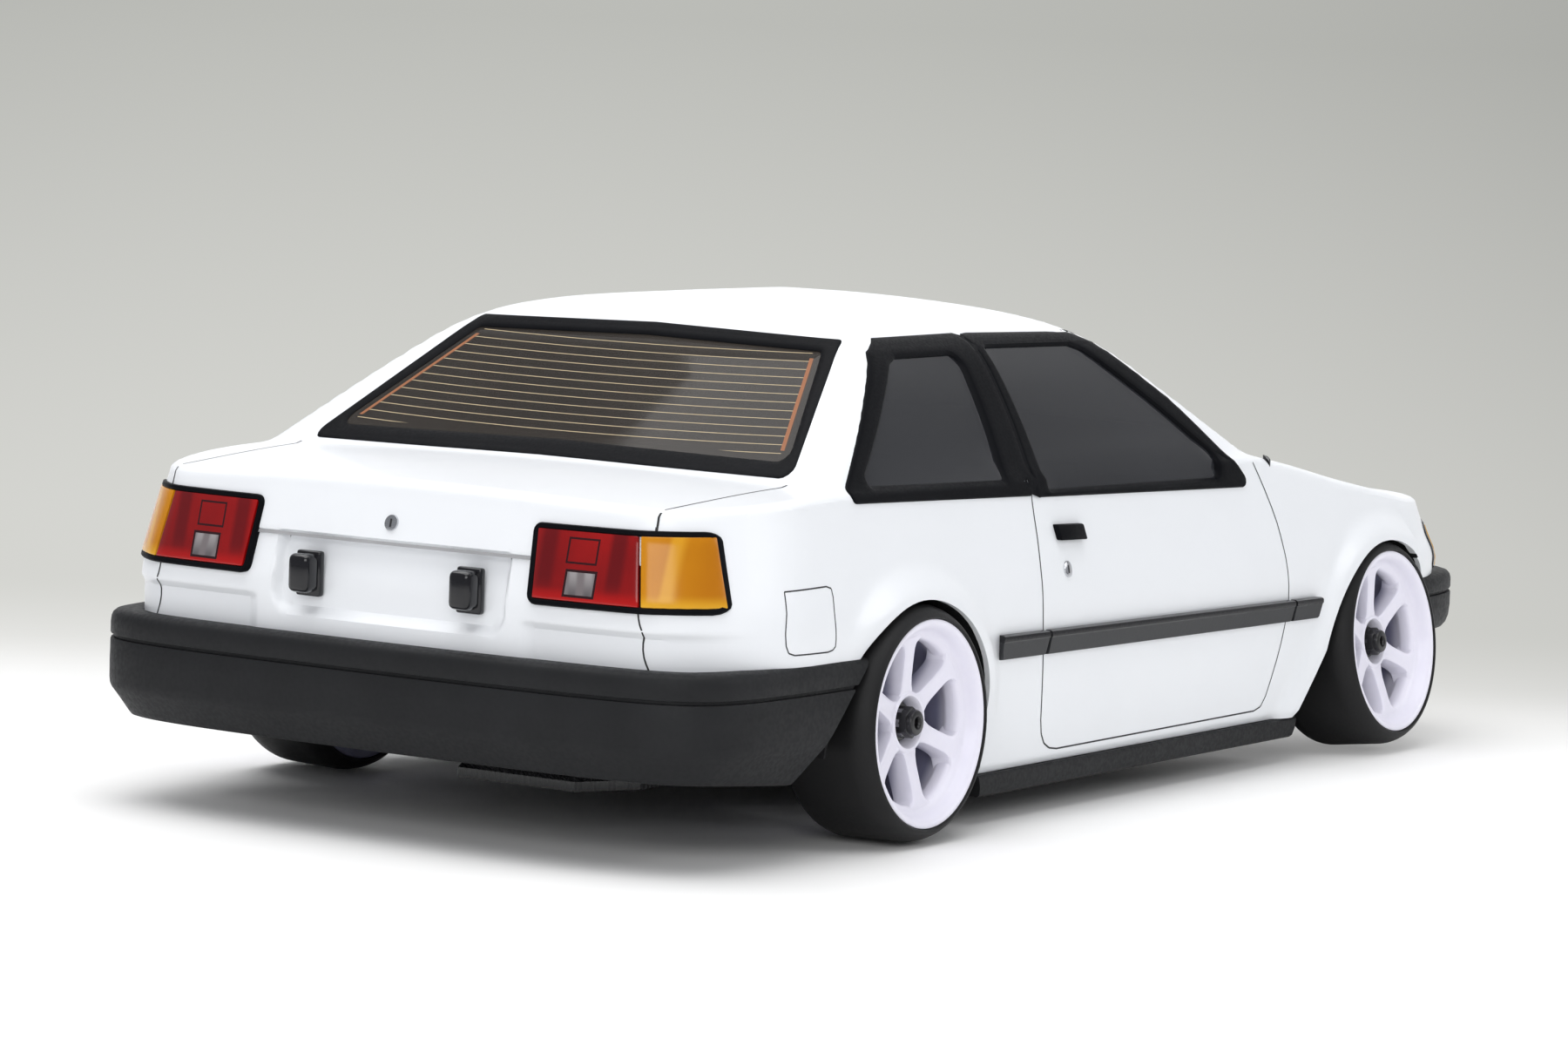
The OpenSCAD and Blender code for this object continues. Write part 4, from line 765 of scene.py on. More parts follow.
# each window's frame and its opening, in the view that it is drawn in
glazing = {
    "quarter": [(-142.6, 85.1), (-56.4, 82.8), (-45.2, 122.6), (-87.6, 122.3), (-98, 119.3),
                (-143.3, 88.4)],
    "quarterGlass": [(-131.0, 88.6), (-68.1, 87.3), (-57.3, 117.7), (-87, 117.5), (-91.5, 116.2),
                     (-132.2, 90.2)],
    "door": [(-55.6, 82.4), (63.4, 79.4), (57, 85.6), (37.6, 104.4), (17.2, 119.4), (11.5, 121.6),
             (-44.4, 122.4)],
    "doorGlass": [(-48.2, 83.9), (45.3, 82.7), (46.2, 89.2), (27, 103.7), (8.0, 117.2), (3.6, 118.5),
                  (-40.6, 118.9)],
    "rear": [(-74.1, 90.2), (0, 91.0), (74.1, 90.2), (56.1, 122.0), (0, 123.2), (-56.1, 122.0)],
    "rearGlass": [(-69.4, 93.6), (0, 94.6), (69.4, 93.6), (53.4, 118.9), (0, 120.0), (-53.4, 118.9)],
    "front": [(-77, 92.2), (0, 93.4), (77, 92.2), (58.6, 122.2), (0, 123.4), (-58.6, 122.2)],
    "frontGlass": [(-72.4, 95.8), (0, 97), (72.4, 95.8), (56, 119), (0, 120.2), (-56, 119)],
}


def archOutline(which):
    shape = arches[which]
    cx, cz, r, sign = shape["x"], form["archHeight"], form["archRadius"], shape["sign"]
    start, stop = math.asin(shape["rise"] / r), math.pi + math.asin((cz - 5) / r)
    turns = [start + (stop - start) * k / 48 for k in range(49)]
    foot = r + shape["run"] * (cz + shape["rise"] - 5) / (cz + shape["rise"] + 20)
    return [(cx + sign * r * math.cos(a), cz + r * math.sin(a)) for a in turns] + [(cx + sign * foot, 5)]


# the shell's wall and paint, where it is cut, and how far each window's opening goes
shellSpec = {
    "wall": 1.4, "floor": 8, "colour": (0.83, 0.848, 0.875), "roughness": 0.3,
    # open where the bumpers sit
    "behind": [(-250, 0), (-250, 46.5), (-146, 46.5), (-150, 36), (-151, 0)],
    "ahead": [(250, 0), (250, 46.5), (163, 46.5), (170, 36), (171, 0)],
    "openings": {"quarter": ("y", -120, 120), "door": ("y", -120, 120), "rear": ("x", -170, -70),
                 "front": ("x", -10, 95)},
}


def innerCutter():                             # the body's net again, coarser and moved in by the wall
    work = workOf(meshFrom(*bodyNet(20, 58, 4), sharp=60))
    work.normal_update()
    moved = [(vert, vert.co - vert.normal * shellSpec["wall"] * mm) for vert in work.verts]
    low = min(vert.co.z for vert in work.verts) + 0.2 * mm
    for vert, spot in moved:
        onFloor = vert.co.z < low
        vert.co = spot
        if onFloor:
            vert.co.z = shellSpec["floor"] * mm
    return link("inner", meshOf(work))


def makeShell():
    piece, inner = link("shell", outerMesh), innerCutter()
    cuts = [(outline, "y", -120, 120) for outline in (archOutline("rear"), archOutline("front"),
                                                      shellSpec["behind"], shellSpec["ahead"])]
    for one, (axis, start, end) in shellSpec["openings"].items():
        cuts.append((roundedOutline(glazing[one + "Glass"], -1.3, -1.6, 2, 1), axis, start, end))
    for cut in cuts:
        cutAway(piece, prismCutter(*cut))
    cutAway(piece, inner)
    work = workOf(piece.data)
    work.normal_update()
    # faces that turn into the car get the black of painted shade, so the inside reads as shade through the
    # arches
    for face in work.faces:
        facing = skinTree.find_nearest(face.calc_center_median())[1].dot(face.normal)
        face.material_index = 1 if facing < -0.3 else 0
    bpy.data.objects.remove(piece)
    return finishMesh(work, 32)


def shellPaint():
    s = Shader("whitePaint")
    colour, roughness = shellSpec["colour"], shellSpec["roughness"]
    tone = s.mix(s.noise(45, 2).ramp(0.35, 0.7), colour, tinted(colour, 0.992))
    dust = s.noise(120, 2).ramp(0.3, 0.75, roughness * 0.98, roughness * 1.03)
    return s.finish(colour=tone, roughness=dust, coat=0.12, coatRoughness=0.05, specular=0.3,
                    normal=s.bump(s.noise(25, 1), 0.004, 0.2))


shadeLinerSpec = {"from": -14, "turn": 196, "steps": 40, "clear": 0.25, "thick": 0.9, "inner": 80, "inset": 1.2}


def archLiners():                              # a dark returned lip inside each rear arch, standing in for the shade there: painted shade
    spec = shadeLinerSpec
    cx, cz, near = arches["rear"]["x"], form["archHeight"], form["archRadius"] + spec["clear"]
    rows = []
    for k in range(spec["steps"] + 1):
        a = math.radians(spec["from"] + spec["turn"] * k / spec["steps"])
        wall = sideY(cx + near * math.cos(a), cz + near * math.sin(a)) - spec["inset"]
        far = near + spec["thick"]
        rows += [(cx + r * math.cos(a), y, cz + r * math.sin(a))
                 for r, y in ((near, wall), (near, spec["inner"]), (far, spec["inner"]), (far, wall))]
    caps = [(0, 1, 2, 3), tuple(len(rows) - k for k in (1, 2, 3, 4))]
    return meshFrom(rows, gridFaces(spec["steps"] + 1, 4, closed=True) + caps, 40, True)


# black for the shell's inside and the arch lips: painted shade
insideShadeBlack = mouldedPlastic("insideShadeBlack", (0.008, 0.008, 0.009), 0.7, specular=0.2)
shell = addObject("shell", makeShell(), "white_paint", [shellPaint(), insideShadeBlack], "body_shell")
# dark lips in the rear arches: painted shade
addObject("archLiners", archLiners(), "window_black", insideShadeBlack)
print("shell:", len(shell.data.polygons), "faces")

frameBlack = mouldedPlastic("frameBlack", (0.004, 0.0043, 0.0055), 0.45, specular=0.04)
bothWays = (("sideLeft", False), ("sideRight", False))


def windowFrame(one, kinds):
    outer, inner = glazing[one], glazing[one + "Glass"]
    rings = [(outer, 0.0, -0.9), (outer, 0.0, 0.15), (outer, 0.3, 0.5), (outer, 1.0, 0.6)]
    for share in (0.2, 0.4, 0.6, 0.8):
        between = [tuple(Vector(a).lerp(Vector(b), share)) for a, b in zip(outer, inner)]
        rings.append((between, 1.0 - 2.4 * share, 0.6))
    rings += [(inner, -1.4, 0.55), (inner, -0.9, 0.4), (inner, 0.0, -0.5), (inner, 0.15, -1.5)]
    return frameMesh(kinds, rings)


for name, one, kinds, node in (
        ("quarterFrames", "quarter", bothWays, "window_trims"), ("doorFrames", "door", bothWays, None),
        ("rearFrame", "rear", (("rear", False),), None), ("frontFrame", "front", (("front", False),),
                                                          None)):
    addObject(name, windowFrame(one, kinds), "window_black", frameBlack, node)
pillars = bothSides("side", [(-56.0, 83.0), (-50.2, 103.0), (-44.9, 122.0)], width=5.8, lift=0.46)
addObject("pillarFillers", meshFrom(*joined(pillars), sharp=60), "window_black", frameBlack)

# the heater lines in the rear pane, between two upright bus bars
heaterSpec = {"low": 95.6, "spacing": 1.93, "sag": -0.00022, "halfLine": 0.034, "line": (0.52, 0.42, 0.26),
              "bus": (0.30, 0.12, 0.055), "lineZ": (95.2, 118.9), "busZ": (96.2, 117.2), "reach": 66,
              "lineEnd": 65.6, "busEdges": (65.2, 66.3), "taper": 0.62, "taperFrom": 95}


def smokedGlass(name, tint, shine, heated=False):
    s = Shader(name)
    x, y, z = s.axes()
    cloud = s.noise(9, 2)
    shade = s.mix(cloud.ramp(0.35, 0.7), tint, tinted(tint, 1.25))
    alpha = cloud * 0.02 + 0.8
    rough = s.noise(160, 3).ramp(0.3, 0.8, 0.03, 0.07)
    if heated:
        spec, across = heaterSpec, y.abs()
        drop = (z - spec["low"] + y * y * spec["sag"]) / spec["spacing"]
        line = (drop - drop.floor() - 0.5).abs().smaller(spec["halfLine"])
        (lowLine, highLine), (lowBus, highBus), (near, far) = spec["lineZ"], spec["busZ"], spec["busEdges"]
        line = line * z.larger(lowLine) * z.smaller(highLine) * across.smaller(spec["reach"])
        edge = across + (z - spec["taperFrom"]) * spec["taper"]
        line = line * edge.smaller(spec["lineEnd"])
        bus = edge.larger(near) * edge.smaller(far) * z.larger(lowBus) * z.smaller(highBus)
        shade = s.mix(bus, s.mix(line, shade, spec["line"]), spec["bus"])
        alpha = (alpha + line * 0.5 + bus * 0.8).min(1.0)
        rough = rough + (line + bus).min(1.0) * 0.3
    return s.finish(colour=shade, roughness=rough, alpha=alpha, specular=shine)


def paneParts(one, kinds, step=4):
    outline = roundedOutline(glazing[one + "Glass"], 2.0, -0.5, 3, 4)
    return [(kind, outline, step, -0.75, 0.8) for kind in kinds]


sidePane = smokedGlass("sidePane", (0.024, 0.025, 0.029), 0.32)
rearPane = smokedGlass("rearPane", (0.036, 0.031, 0.027), 0.1, True)
sidePanes = [pane for one in ("quarter", "door") for pane in paneParts(one, ("sideLeft", "sideRight"), 5)]
for name, panes, glass, node in (
        ("sidePanes", sidePanes, sidePane, "windows"), ("rearPane", paneParts("rear", ("rear",)), rearPane,
                                                        None),
        ("frontPane", paneParts("front", ("front",)), sidePane, None)):
    addObject(name, drape(panes), "smoked_pane", glass, node)
print("windows: frames and panes")

# panel gaps: the view that each is drawn in, how round its corners are, and its path
gapLines = {
    "door": ("side", 2.2, [(-48.6, 122.6), (-57.2, 82.1), (-56.7, 71.7), (-58, 54.1), (-53.7, 31),
                           (-51.3, 20.5), (-45.5, 16.2), (73.5, 16.6), (76.2, 25), (79, 34.7), (80.9, 46.9),
                           (78, 59.3), (75.8, 69), (70.7, 78.8), (66.1, 86.0)]),
    "doorRoof": ("top", 2, [(-48.6, 63.4), (-44.1, 57.9), (3.8, 59.4), (19, 62.4)]),
    "lidSide": ("top", 2, [(-207.6, 73.0), (-199.5, 72.7), (-150, 74.6)]),
    "quarter": ("rear", 0.8, [(72.0, 61.4), (72.5, 58.6), (73.6, 56.9), (72.6, 54.6), (73.0, 51),
                              (74.8, 47.0)]),
    "hoodSide": ("top", 0, [(66, 72.5), (110, 68.5), (160, 63), (196, 55)]),
    "hoodFront": ("top", 3, [(196, 55), (199.5, 44), (203.5, 20), (204.4, 0)]),
    "cowl": ("top", 0, [(66, 72.5), (76.5, 50), (82, 24), (83.5, 0)]),
}
gapSpec = {
    "lidCorner": [(73.1, 80.4), (72.9, 84.9)], "lid": [(-40.5, 71.9), (40.5, 71.9)],
    "fuelDoor": [(-10, 7.6), (10, 7.9), (9.2, 1.6), (9.8, -5.4), (9.0, -7.8), (-10.6, -7.5), (-11.6, -2.4),
                 (-10.2, 2.6), (-10, 7.6)],
}
gapBlack = mouldedPlastic("gapBlack", (0.018, 0.018, 0.02), 0.6)
# grey for the painted shadow under the trunk lid's edge
lidShadowGrey = mouldedPlastic("lidShadowGrey", (0.30, 0.30, 0.31), 0.6)
ribbons = bothSides("rear", gapSpec["lidCorner"], step=0.3, lift=0.15)
for kind, rounding, path in gapLines.values():
    ribbons += bothSides(kind, path, rounding=rounding)
fuelPlace = placeOn(skinTree, imagePlaces["fuelDoor"])
fuelPath = [(fuelPlace.x + a, fuelPlace.z + b) for a, b in gapSpec["fuelDoor"]]
ribbons.append(ribbon("sideRight", fuelPath, width=0.36, rounding=1.4))
addObject("panelGaps", meshFrom(*joined(ribbons), sharp=60), "gloss_black", gapBlack)
# a grey strip along the trunk lid's lower edge: painted shadow of the lid's overhang
lidShadowRibbon = ribbon("tail", gapSpec["lid"], width=0.8, lift=-0.1)
addObject("lidGap", meshFrom(*lidShadowRibbon, sharp=60), "gloss_black", lidShadowGrey)
print("panel gaps")


def smoothPath(points):
    reach = [0.0]
    for a, b in zip(points, points[1:]):
        reach.append(reach[-1] + math.hypot(b[0] - a[0], b[1] - a[1]))
    along = smoothTable([(s, p[0]) for s, p in zip(reach, points)])
    across = smoothTable([(s, p[1]) for s, p in zip(reach, points)])
    return lambda s: Vector((along(s), across(s))), reach[-1]


# plan line from the middle outwards, section from the top round to the inside, and the cut ends
bumpers = {
    "rear": {"plan": [(-218, 0), (-217.6, 30), (-216.6, 55), (-214.6, 72), (-211, 83.5), (-205.6, 90),
                      (-198.4, 93.4), (-188, 95.2), (-170, 96.1), (-140, 96.4)],
             "cut": lambda z: 3 + (48 - z) * 0.955, "columns": 80, "drop": 3.4,
             "rows": [(48.1, -8.0), (48.35, -5.0), (48.3, -2.6), (48.0, -1.3), (47.3, -0.45), (46.3, -0.05),
                      (45, 0.1), (42.4, 0.1), (42.1, -0.05), (41.95, -0.9), (41.2, -0.9), (41.05, -0.1),
                      (40.6, 0.1), (36, 0.15), (31, 0.1), (29.4, -0.1), (28.4, -0.6), (25.5, -2.8),
                      (22.8, -4.7), (21.7, -5.6), (21.4, -6.6), (21.6, -8.2), (25, -9), (31, -6), (42, -6),
                      (46.6, -8)]},
    "front": {"plan": [(218, 0), (217.4, 22), (215.3, 45), (211.4, 66), (206, 79), (198, 88.2), (187, 93),
                       (171, 95.4), (150, 96.2)],
              "cut": lambda z: 13.5 + (48.4 - z) * 0.62, "columns": 70,
              "rows": [(48.1, -8.4), (48.35, -5.0), (48.25, -2.4), (47.9, -1.1), (47.1, -0.35), (46, 0),
                       (43.5, 0.05), (43.15, -0.1), (43.0, -0.9), (42.3, -0.9), (42.1, -0.1), (41.7, 0.1),
                       (38, 0.1), (35, -0.2), (33, -0.9), (31.7, -2.0), (31.1, -3.6), (31.0, -7),
                       (33, -8.4), (40, -6.6), (46.6, -8.4)]},
    "chin": {"plan": [(218, 0), (217.4, 22), (214.5, 45), (210.3, 63.5)],
             "cut": lambda z: (31.4 - z) * 0.7, "columns": 30,
             "rows": [(31.4, -1.7), (27, -2.0), (22, -2.6), (17.5, -3.5), (15, -4.4), (13.9, -5.4),
                      (13.5, -6.8), (14.2, -8.4), (20, -7.2), (31.4, -6.2)]},
}


def bumperMesh(name):
    spec = bumpers[name]
    path, total = smoothPath(spec["plan"])
    columns = spec["columns"]
    points = []
    for z, out in spec["rows"]:
        end = total - spec["cut"](z)
        lower = spec.get("drop", 0) * min(max((29.4 - z) / 7.8, 0), 1)
        for k in range(-columns, columns + 1):
            s = end * abs(k) / columns
            spot, along = path(s), (path(s + 0.3) - path(max(s - 0.3, 0))).normalized()
            normal = Vector((-along.y, along.x))
            if normal.dot(Vector((spot.x, spot.y * 1.6))) < 0:
                normal = -normal
            spot = spot + normal * out
            points.append((spot.x, spot.y if k >= 0 else -spot.y, z - lower * smoothstep(88, 150, s)))
    rows, cols = len(spec["rows"]), 2 * columns + 1
    last = (rows - 1) * cols
    faces = gridFaces(rows, cols) + [(last + c, last + c + 1, c + 1, c) for c in range(cols - 1)]
    faces += [tuple(r * cols for r in range(rows)),
              tuple(r * cols + cols - 1 for r in reversed(range(rows)))]
    return meshFrom(points, faces, 38)


charcoal = mouldedPlastic("charcoal", (0.0145, 0.015, 0.0162), 0.55, grain=900, depth=0.03, specular=0.14)
glossBlack = mouldedPlastic("glossBlack", (0.006, 0.006, 0.008), 0.14, coat=0.35, specular=0.3)
for name, part, node in (("rearBumper", "rear", "rear_bumper"), ("frontBumper", "front", "front_bumper"),
                         ("frontChin", "chin", None)):
    addObject(name, bumperMesh(part), "trim_plastic", charcoal, node)

skirtProfile = [(84, 12.85), (90.9, 12.85), (91.5, 12.3), (91.5, 9.8), (91.0, 7.7), (90.2, 7.05),
                (82.6, 7.05), (82.6, 8.4), (89.2, 8.6), (89.6, 11.4), (84, 11.6)]
mouldingSpec = {
    "profile": [(94.4, 0), (96.4, 0), (97.0, 0.25), (97.2, 0.7), (97.2, 1.6), (96.95, 1.9), (96.1, 5.9),
                (95.7, 6.4), (94.4, 6.55)],
    "pieces": ((-80.5, -57), (-56, 80.5), (81.5, 97.5)), "top": 49, "from": -79, "fall": 0.011,
    "band": -1.8,
}


def sweptSide(profile, place, stations):       # a section carried along each side of the car
    points = [place(k / stations, *spot) for k in range(stations + 1) for spot in profile]
    count, last = len(profile), len(points)
    faces = gridFaces(stations + 1, count, closed=True)
    faces += [tuple(range(count)), tuple(reversed(range(last - count, last)))]
    return meshFrom(points, faces, 30, True)


def skirtPlace(share, y, z):
    low, high = -81 + (13 - z) * 0.3, 95.2 - (13 - z) * 0.25
    return (low + (high - low) * share, y, z)


def mouldingMesh(low, high, pointed):
    def place(share, y, drop):
        back, spec = 97.2 - y, mouldingSpec
        start = low + (abs(drop - 2.0) * 0.28 + back * 0.35 if pointed else back * 0.25)
        x = start + (high - back * 0.25 - start) * share
        along = x - spec["from"]
        return (x, y, spec["top"] - along * spec["fall"] - drop * (0.985 - 0.0003 * along))
    return sweptSide(mouldingSpec["profile"], place, max(int((high - low) / 6), 3))


def mouldingPaint():
    s, spec = Shader("mouldingPaint"), mouldingSpec
    x, y, z = s.axes()
    band = (z - spec["top"] + (x - spec["from"]) * spec["fall"]).larger(spec["band"])
    grain = s.noise(900, 3)
    tone = s.mix(band, (0.024, 0.025, 0.028), (0.006, 0.006, 0.008))
    return s.finish(colour=tone, roughness=band * -0.3 + 0.5 + grain * 0.06, specular=0.35,
                    normal=s.bump(grain, 0.02))


addObject("sideSkirts", sweptSide(skirtProfile, skirtPlace, 30), "trim_plastic", charcoal, "side_skirts")
strip = mouldingPaint()
for order, (low, high) in enumerate(mouldingSpec["pieces"]):
    addObject(f"sideMoulding{order + 1}", mouldingMesh(low, high, order == 0), "trim_plastic", strip,
              None if order else "body_trim")
print("bumpers, skirts and mouldings")

# small parts of the body
trims = {
    "plateLamp": {"y": 24.2, "z": 62.8, "wide": 7.4, "high": 11.2, "back": -208.6, "front": -215.2},
    "handle": {"outline": [(-7.3, 2.25), (-6.2, -1.85), (7.3, -2.25), (6.2, 1.85)], "lift": 1.7,
               "thick": 2.2,
               "standOut": 1.3},
    "doorLock": {"radius": 1.85, "lift": 0.45, "thick": 1.2, "stretch": 1.15},
    "trunkLock": {"radius": 1.95, "lift": 0.55, "thick": 1.4, "stretch": 1.0},
    "nub": {"radius": 1.1, "lift": 1.1, "thick": 1.6, "stretch": 1.0, "inward": 0.3},
}
bothDoors = ("sideLeft", "sideRight")


def roundBox(low, high, rounding, segments):
    work = bmesh.new()
    bmesh.ops.create_cube(work, size=1)
    size, middle = Vector(high) - Vector(low), (Vector(high) + Vector(low)) / 2
    bmesh.ops.scale(work, vec=size, verts=work.verts)
    bmesh.ops.translate(work, vec=middle, verts=work.verts)
    bmesh.ops.bevel(work, geom=work.edges[:], offset=rounding, segments=segments, profile=0.5,
                    affect="EDGES")
    return work


def merged(works):
    whole = bmesh.new()
    for work in works:
        scratch = meshOf(work)
        whole.from_mesh(scratch)
        bpy.data.meshes.remove(scratch)
    return whole


def plateLamps():
    spec = trims["plateLamp"]
    y, z, wide, high = spec["y"], spec["z"], spec["wide"] / 2, spec["high"] / 2
    foot = roundBox((spec["back"] - 2.2, y - wide, z - high), (spec["back"], y + wide, z + high), 0.7, 3)
    hood = roundBox((spec["front"], y - wide + 0.5, z - high + 1.1),
                    (spec["back"] - 1, y + wide - 0.5, z + high - 0.6), 1.7, 4)
    work = merged([foot, hood])
    bmesh.ops.scale(work, vec=(mm, mm, mm), verts=work.verts)
    mirrorY(work)
    return finishMesh(work, 50)


def disc(kind, a, b, spec, steps=24):
    turns = [2 * math.pi * k / steps for k in range(steps)]
    high = spec["radius"] * spec["stretch"]
    outline = [(a + spec["radius"] * math.cos(turn), b + high * math.sin(turn)) for turn in turns]
    return (kind, outline, 50, spec["lift"], spec["thick"])


def keySlot(kind, across, up, spec):
    corners = [(across + a, up + b) for a, b in ((-0.25, -1), (0.25, -1), (0.25, 1), (-0.25, 1))]
    return (kind, corners, 5, spec["lift"] + 0.07, 0.2)


addObject("plateLamps", plateLamps(), "gloss_black", glossBlack)
handle = placeOn(skinTree, imagePlaces["doorHandle"])
handle.x -= trims["handle"]["standOut"]
handleLine = [(handle.x + a, handle.z + b) for a, b in trims["handle"]["outline"]]
handles = [(side, handleLine, 6, trims["handle"]["lift"], trims["handle"]["thick"]) for side in bothDoors]
addObject("doorHandles", drape(handles, 0.45), "gloss_black", frameBlack)
doorLock, trunkLock = [placeOn(skinTree, imagePlaces[name]) for name in ("doorLock", "trunkLock")]
keyholes = [(side, doorLock.x, doorLock.z, trims["doorLock"]) for side in bothDoors]
keyholes.append(("rear", trunkLock.y, trunkLock.z, trims["trunkLock"]))
chrome = brushedMetal("chrome", (0.62, 0.63, 0.66), 0.22)
addObject("locks", drape([disc(*one) for one in keyholes], 0.18), "steel", chrome)
nub = placeOn(skinTree, imagePlaces["cowlNub"])
nub.y += trims["nub"]["inward"]                # just clear of the cowl's rounded edge
nubs = [disc("top", nub.x, nub.y * way, trims["nub"]) for way in (1, -1)]
addObject("cowlNubs", drape(nubs, 0.3), "gloss_black", glossBlack)
addObject("keySlots", drape([keySlot(*one) for one in keyholes]), "gloss_black", gapBlack)

# the tail lamps, drawn on the tail: outline, lenses and fields
tailLamp = {
    "outline": [(40.2, 61.3), (84.7, 61.5), (83.5, 80.7), (40.5, 80.5)], "radius": 2.3,
    "red": [(41.9, 62.8), (69.6, 62.8), (69.4, 79.2), (42.1, 79.1)],
    "amber": [(70.1, 62.8), (84.0, 62.9), (82.8, 79.4), (69.9, 79.2)],
    "bezel": ((0.0, -0.9), (0.0, 0.4), (0.3, 0.85), (1.1, 0.9), (1.45, 0.6), (1.5, -1.2)),   # inset and lift
    # fields in the red lens, from the middle outwards and upwards
    "darkBands": ((62.5, 64.3, 68.6, 66.4), (43.0, 45.2, 49.6, 47.4)),
    "upper": (51.6, 60.2, 71.7, 77.9), "upperInside": (52.1, 59.7, 72.2, 77.4),
    "clear": (52.0, 60.8, 63.9, 70.4), "clearInside": (52.6, 60.2, 64.5, 69.8),
    # where the painted highlight streak lies on the amber lens
    "amberGlint": (76.2, 77.4, 80.4, 78.4),
}


def onBothSides(kind, flat, step, lift, thick):
    flipped = [(-a, b) for a, b in reversed(flat)]
    return [(kind, one, step, lift, thick) for one in (flat, flipped)]


def redLens():
    s, spec = Shader("redLens"), tailLamp
    x, y, z = s.axes()
    side, cloud = y.abs(), s.noise(38, 3)

    def box(low, high, under, over):
        return side.larger(low) * side.smaller(high) * z.larger(under) * z.smaller(over)

    tone = s.mix(cloud.ramp(0.3, 0.75), (0.19, 0.002, 0.003), (0.31, 0.004, 0.004))
    outer, inner = [side.ramp(a, b) * side.ramp(c, d) for a, b, c, d in spec["darkBands"]]
    dark = outer + inner
    tone = s.mix(dark * z.ramp(63.5, 68.5) * 0.85, tone, (0.105, 0.001, 0.003))
    tone = s.mix(z.ramp(66.5, 63.4) * 0.55, tone, (0.52, 0.006, 0.005))
    tone = s.mix(box(*spec["upper"]) - box(*spec["upperInside"]), tone, (0.03, 0.002, 0.004))
    clear = box(*spec["clear"])
    # painted highlight: streaks of glint across the clear field, lighter towards the top
    glintStreak = (side + z * 0.12 + cloud * 2.0).wave(4.3)
    glint = s.mix(z.ramp(64, 70), (0.10, 0.09, 0.095), (0.30, 0.28, 0.285))
    tone = s.mix(clear, tone, s.mix(glintStreak.ramp(0.1, 0.9), glint, (0.17, 0.15, 0.155)))
    tone = s.mix(clear - box(*spec["clearInside"]), tone, (0.02, 0.004, 0.006))
    return s.finish(colour=tone, roughness=s.noise(420, 1) * 0.03 + 0.1, coat=0.3, coatRoughness=0.12,
                    specular=0.3)


def amberLens():
    s = Shader("amberLens")
    x, y, z = s.axes()
    side, cloud = y.abs(), s.noise(30, 2)
    tone = s.mix(cloud.ramp(0.3, 0.7), (0.46, 0.165, 0.002), (0.56, 0.22, 0.004))
    tone = s.mix(side.ramp(80, 86) * 0.5, tone, (0.36, 0.10, 0.002))
    # lighter towards the bottom, and along a painted highlight streak
    a, b, c, d = tailLamp["amberGlint"]
    glintStreak = side.ramp(a, b) * side.ramp(c, d) * z.ramp(64, 66)
    tone = s.mix((z.ramp(66.5, 63.0) * 0.6 + glintStreak * 0.35).min(1.0), tone, (0.83, 0.47, 0.03))
    return s.finish(colour=tone, roughness=cloud * 0.05 + 0.16, coat=0.2, coatRoughness=0.2, specular=0.25)


outline, radius = tailLamp["outline"], tailLamp["radius"]
rings = [(outline, inset, lift) for inset, lift in tailLamp["bezel"]]
bezels = frameMesh((("tail", False), ("tail", True)), rings, radius, 16)
addObject("tailBezels", bezels, "gloss_black", frameBlack)
amber = amberLens()
for part, lens, node in (("red", redLens(), "tail_lights"), ("amber", amber, None)):
    mesh = drape(onBothSides("tail", tailLamp[part], 2.4, 1.0, 1.8), 0.35)
    addObject(part + "Lenses", mesh, "lamp_red", lens, node)
seat = roundedOutline(outline, radius, 0.5, 3, 4)
addObject("lampSeats", drape(onBothSides("tail", seat, 3, 0.0, 0.8)), "gloss_black", frameBlack)
print("tail lamps and small trims")

# the front lamps and the grille, drawn on the nose
noseLamp = {
    "head": [(44.6, 50.9), (75.2, 50.9), (74.9, 64.2), (44.6, 65.0)],
    "corner": [(77.0, 50.9), (86.6, 50.7), (85.6, 62.4), (76.6, 64.0)],
    "bezel": ((-1.0, -0.9), (-1.0, 0.35), (-0.8, 0.55), (-0.2, 0.55), (0.0, 0.3), (0.05, -1.0)),
    "grille": [(-42.6, 50.9), (42.6, 50.9), (42.6, 65.0), (-42.6, 65.0)],
    "slats": (51.2, 53.5, 55.8, 58.1, 60.4, 62.7), "slatHalf": 42.4, "slatHigh": 0.9,
}


def clearLens():
    s = Shader("clearLens")
    x, y, z = s.axes()
    flutes = y.wave(2.6)
    tone = s.mix(flutes, (0.42, 0.43, 0.45), (0.62, 0.63, 0.65))
    return s.finish(colour=tone, roughness=s.noise(60, 2) * 0.05 + 0.06, coat=1.0, metallic=0.35,
                    normal=s.bump(flutes, 0.15))


for name, paint, node in (("head", clearLens(), "headlights"), ("corner", amber, None)):
    rings = [(noseLamp[name], inset, lift) for inset, lift in noseLamp["bezel"]]
    bezels = frameMesh((("nose", False), ("nose", True)), rings, 1.0)
    addObject(name + "Bezels", bezels, "gloss_black", glossBlack)
    mesh = drape(onBothSides("nose", noseLamp[name], 2.6, 0.75, 1.8), 0.3)
    addObject(name + "Lenses", mesh, "lamp_clear", paint, node)
half, high = noseLamp["slatHalf"], noseLamp["slatHigh"]
slats = [("nose", [(-half, z), (half, z), (half, z + high), (-half, z + high)], 5, 0.9, 2.4)
         for z in noseLamp["slats"]]
slats.append(("nose", noseLamp["grille"], 5, -0.4, 1.0))
addObject("grille", drape(slats, 0.2), "gloss_black", frameBlack)
print("front lamps and grille")

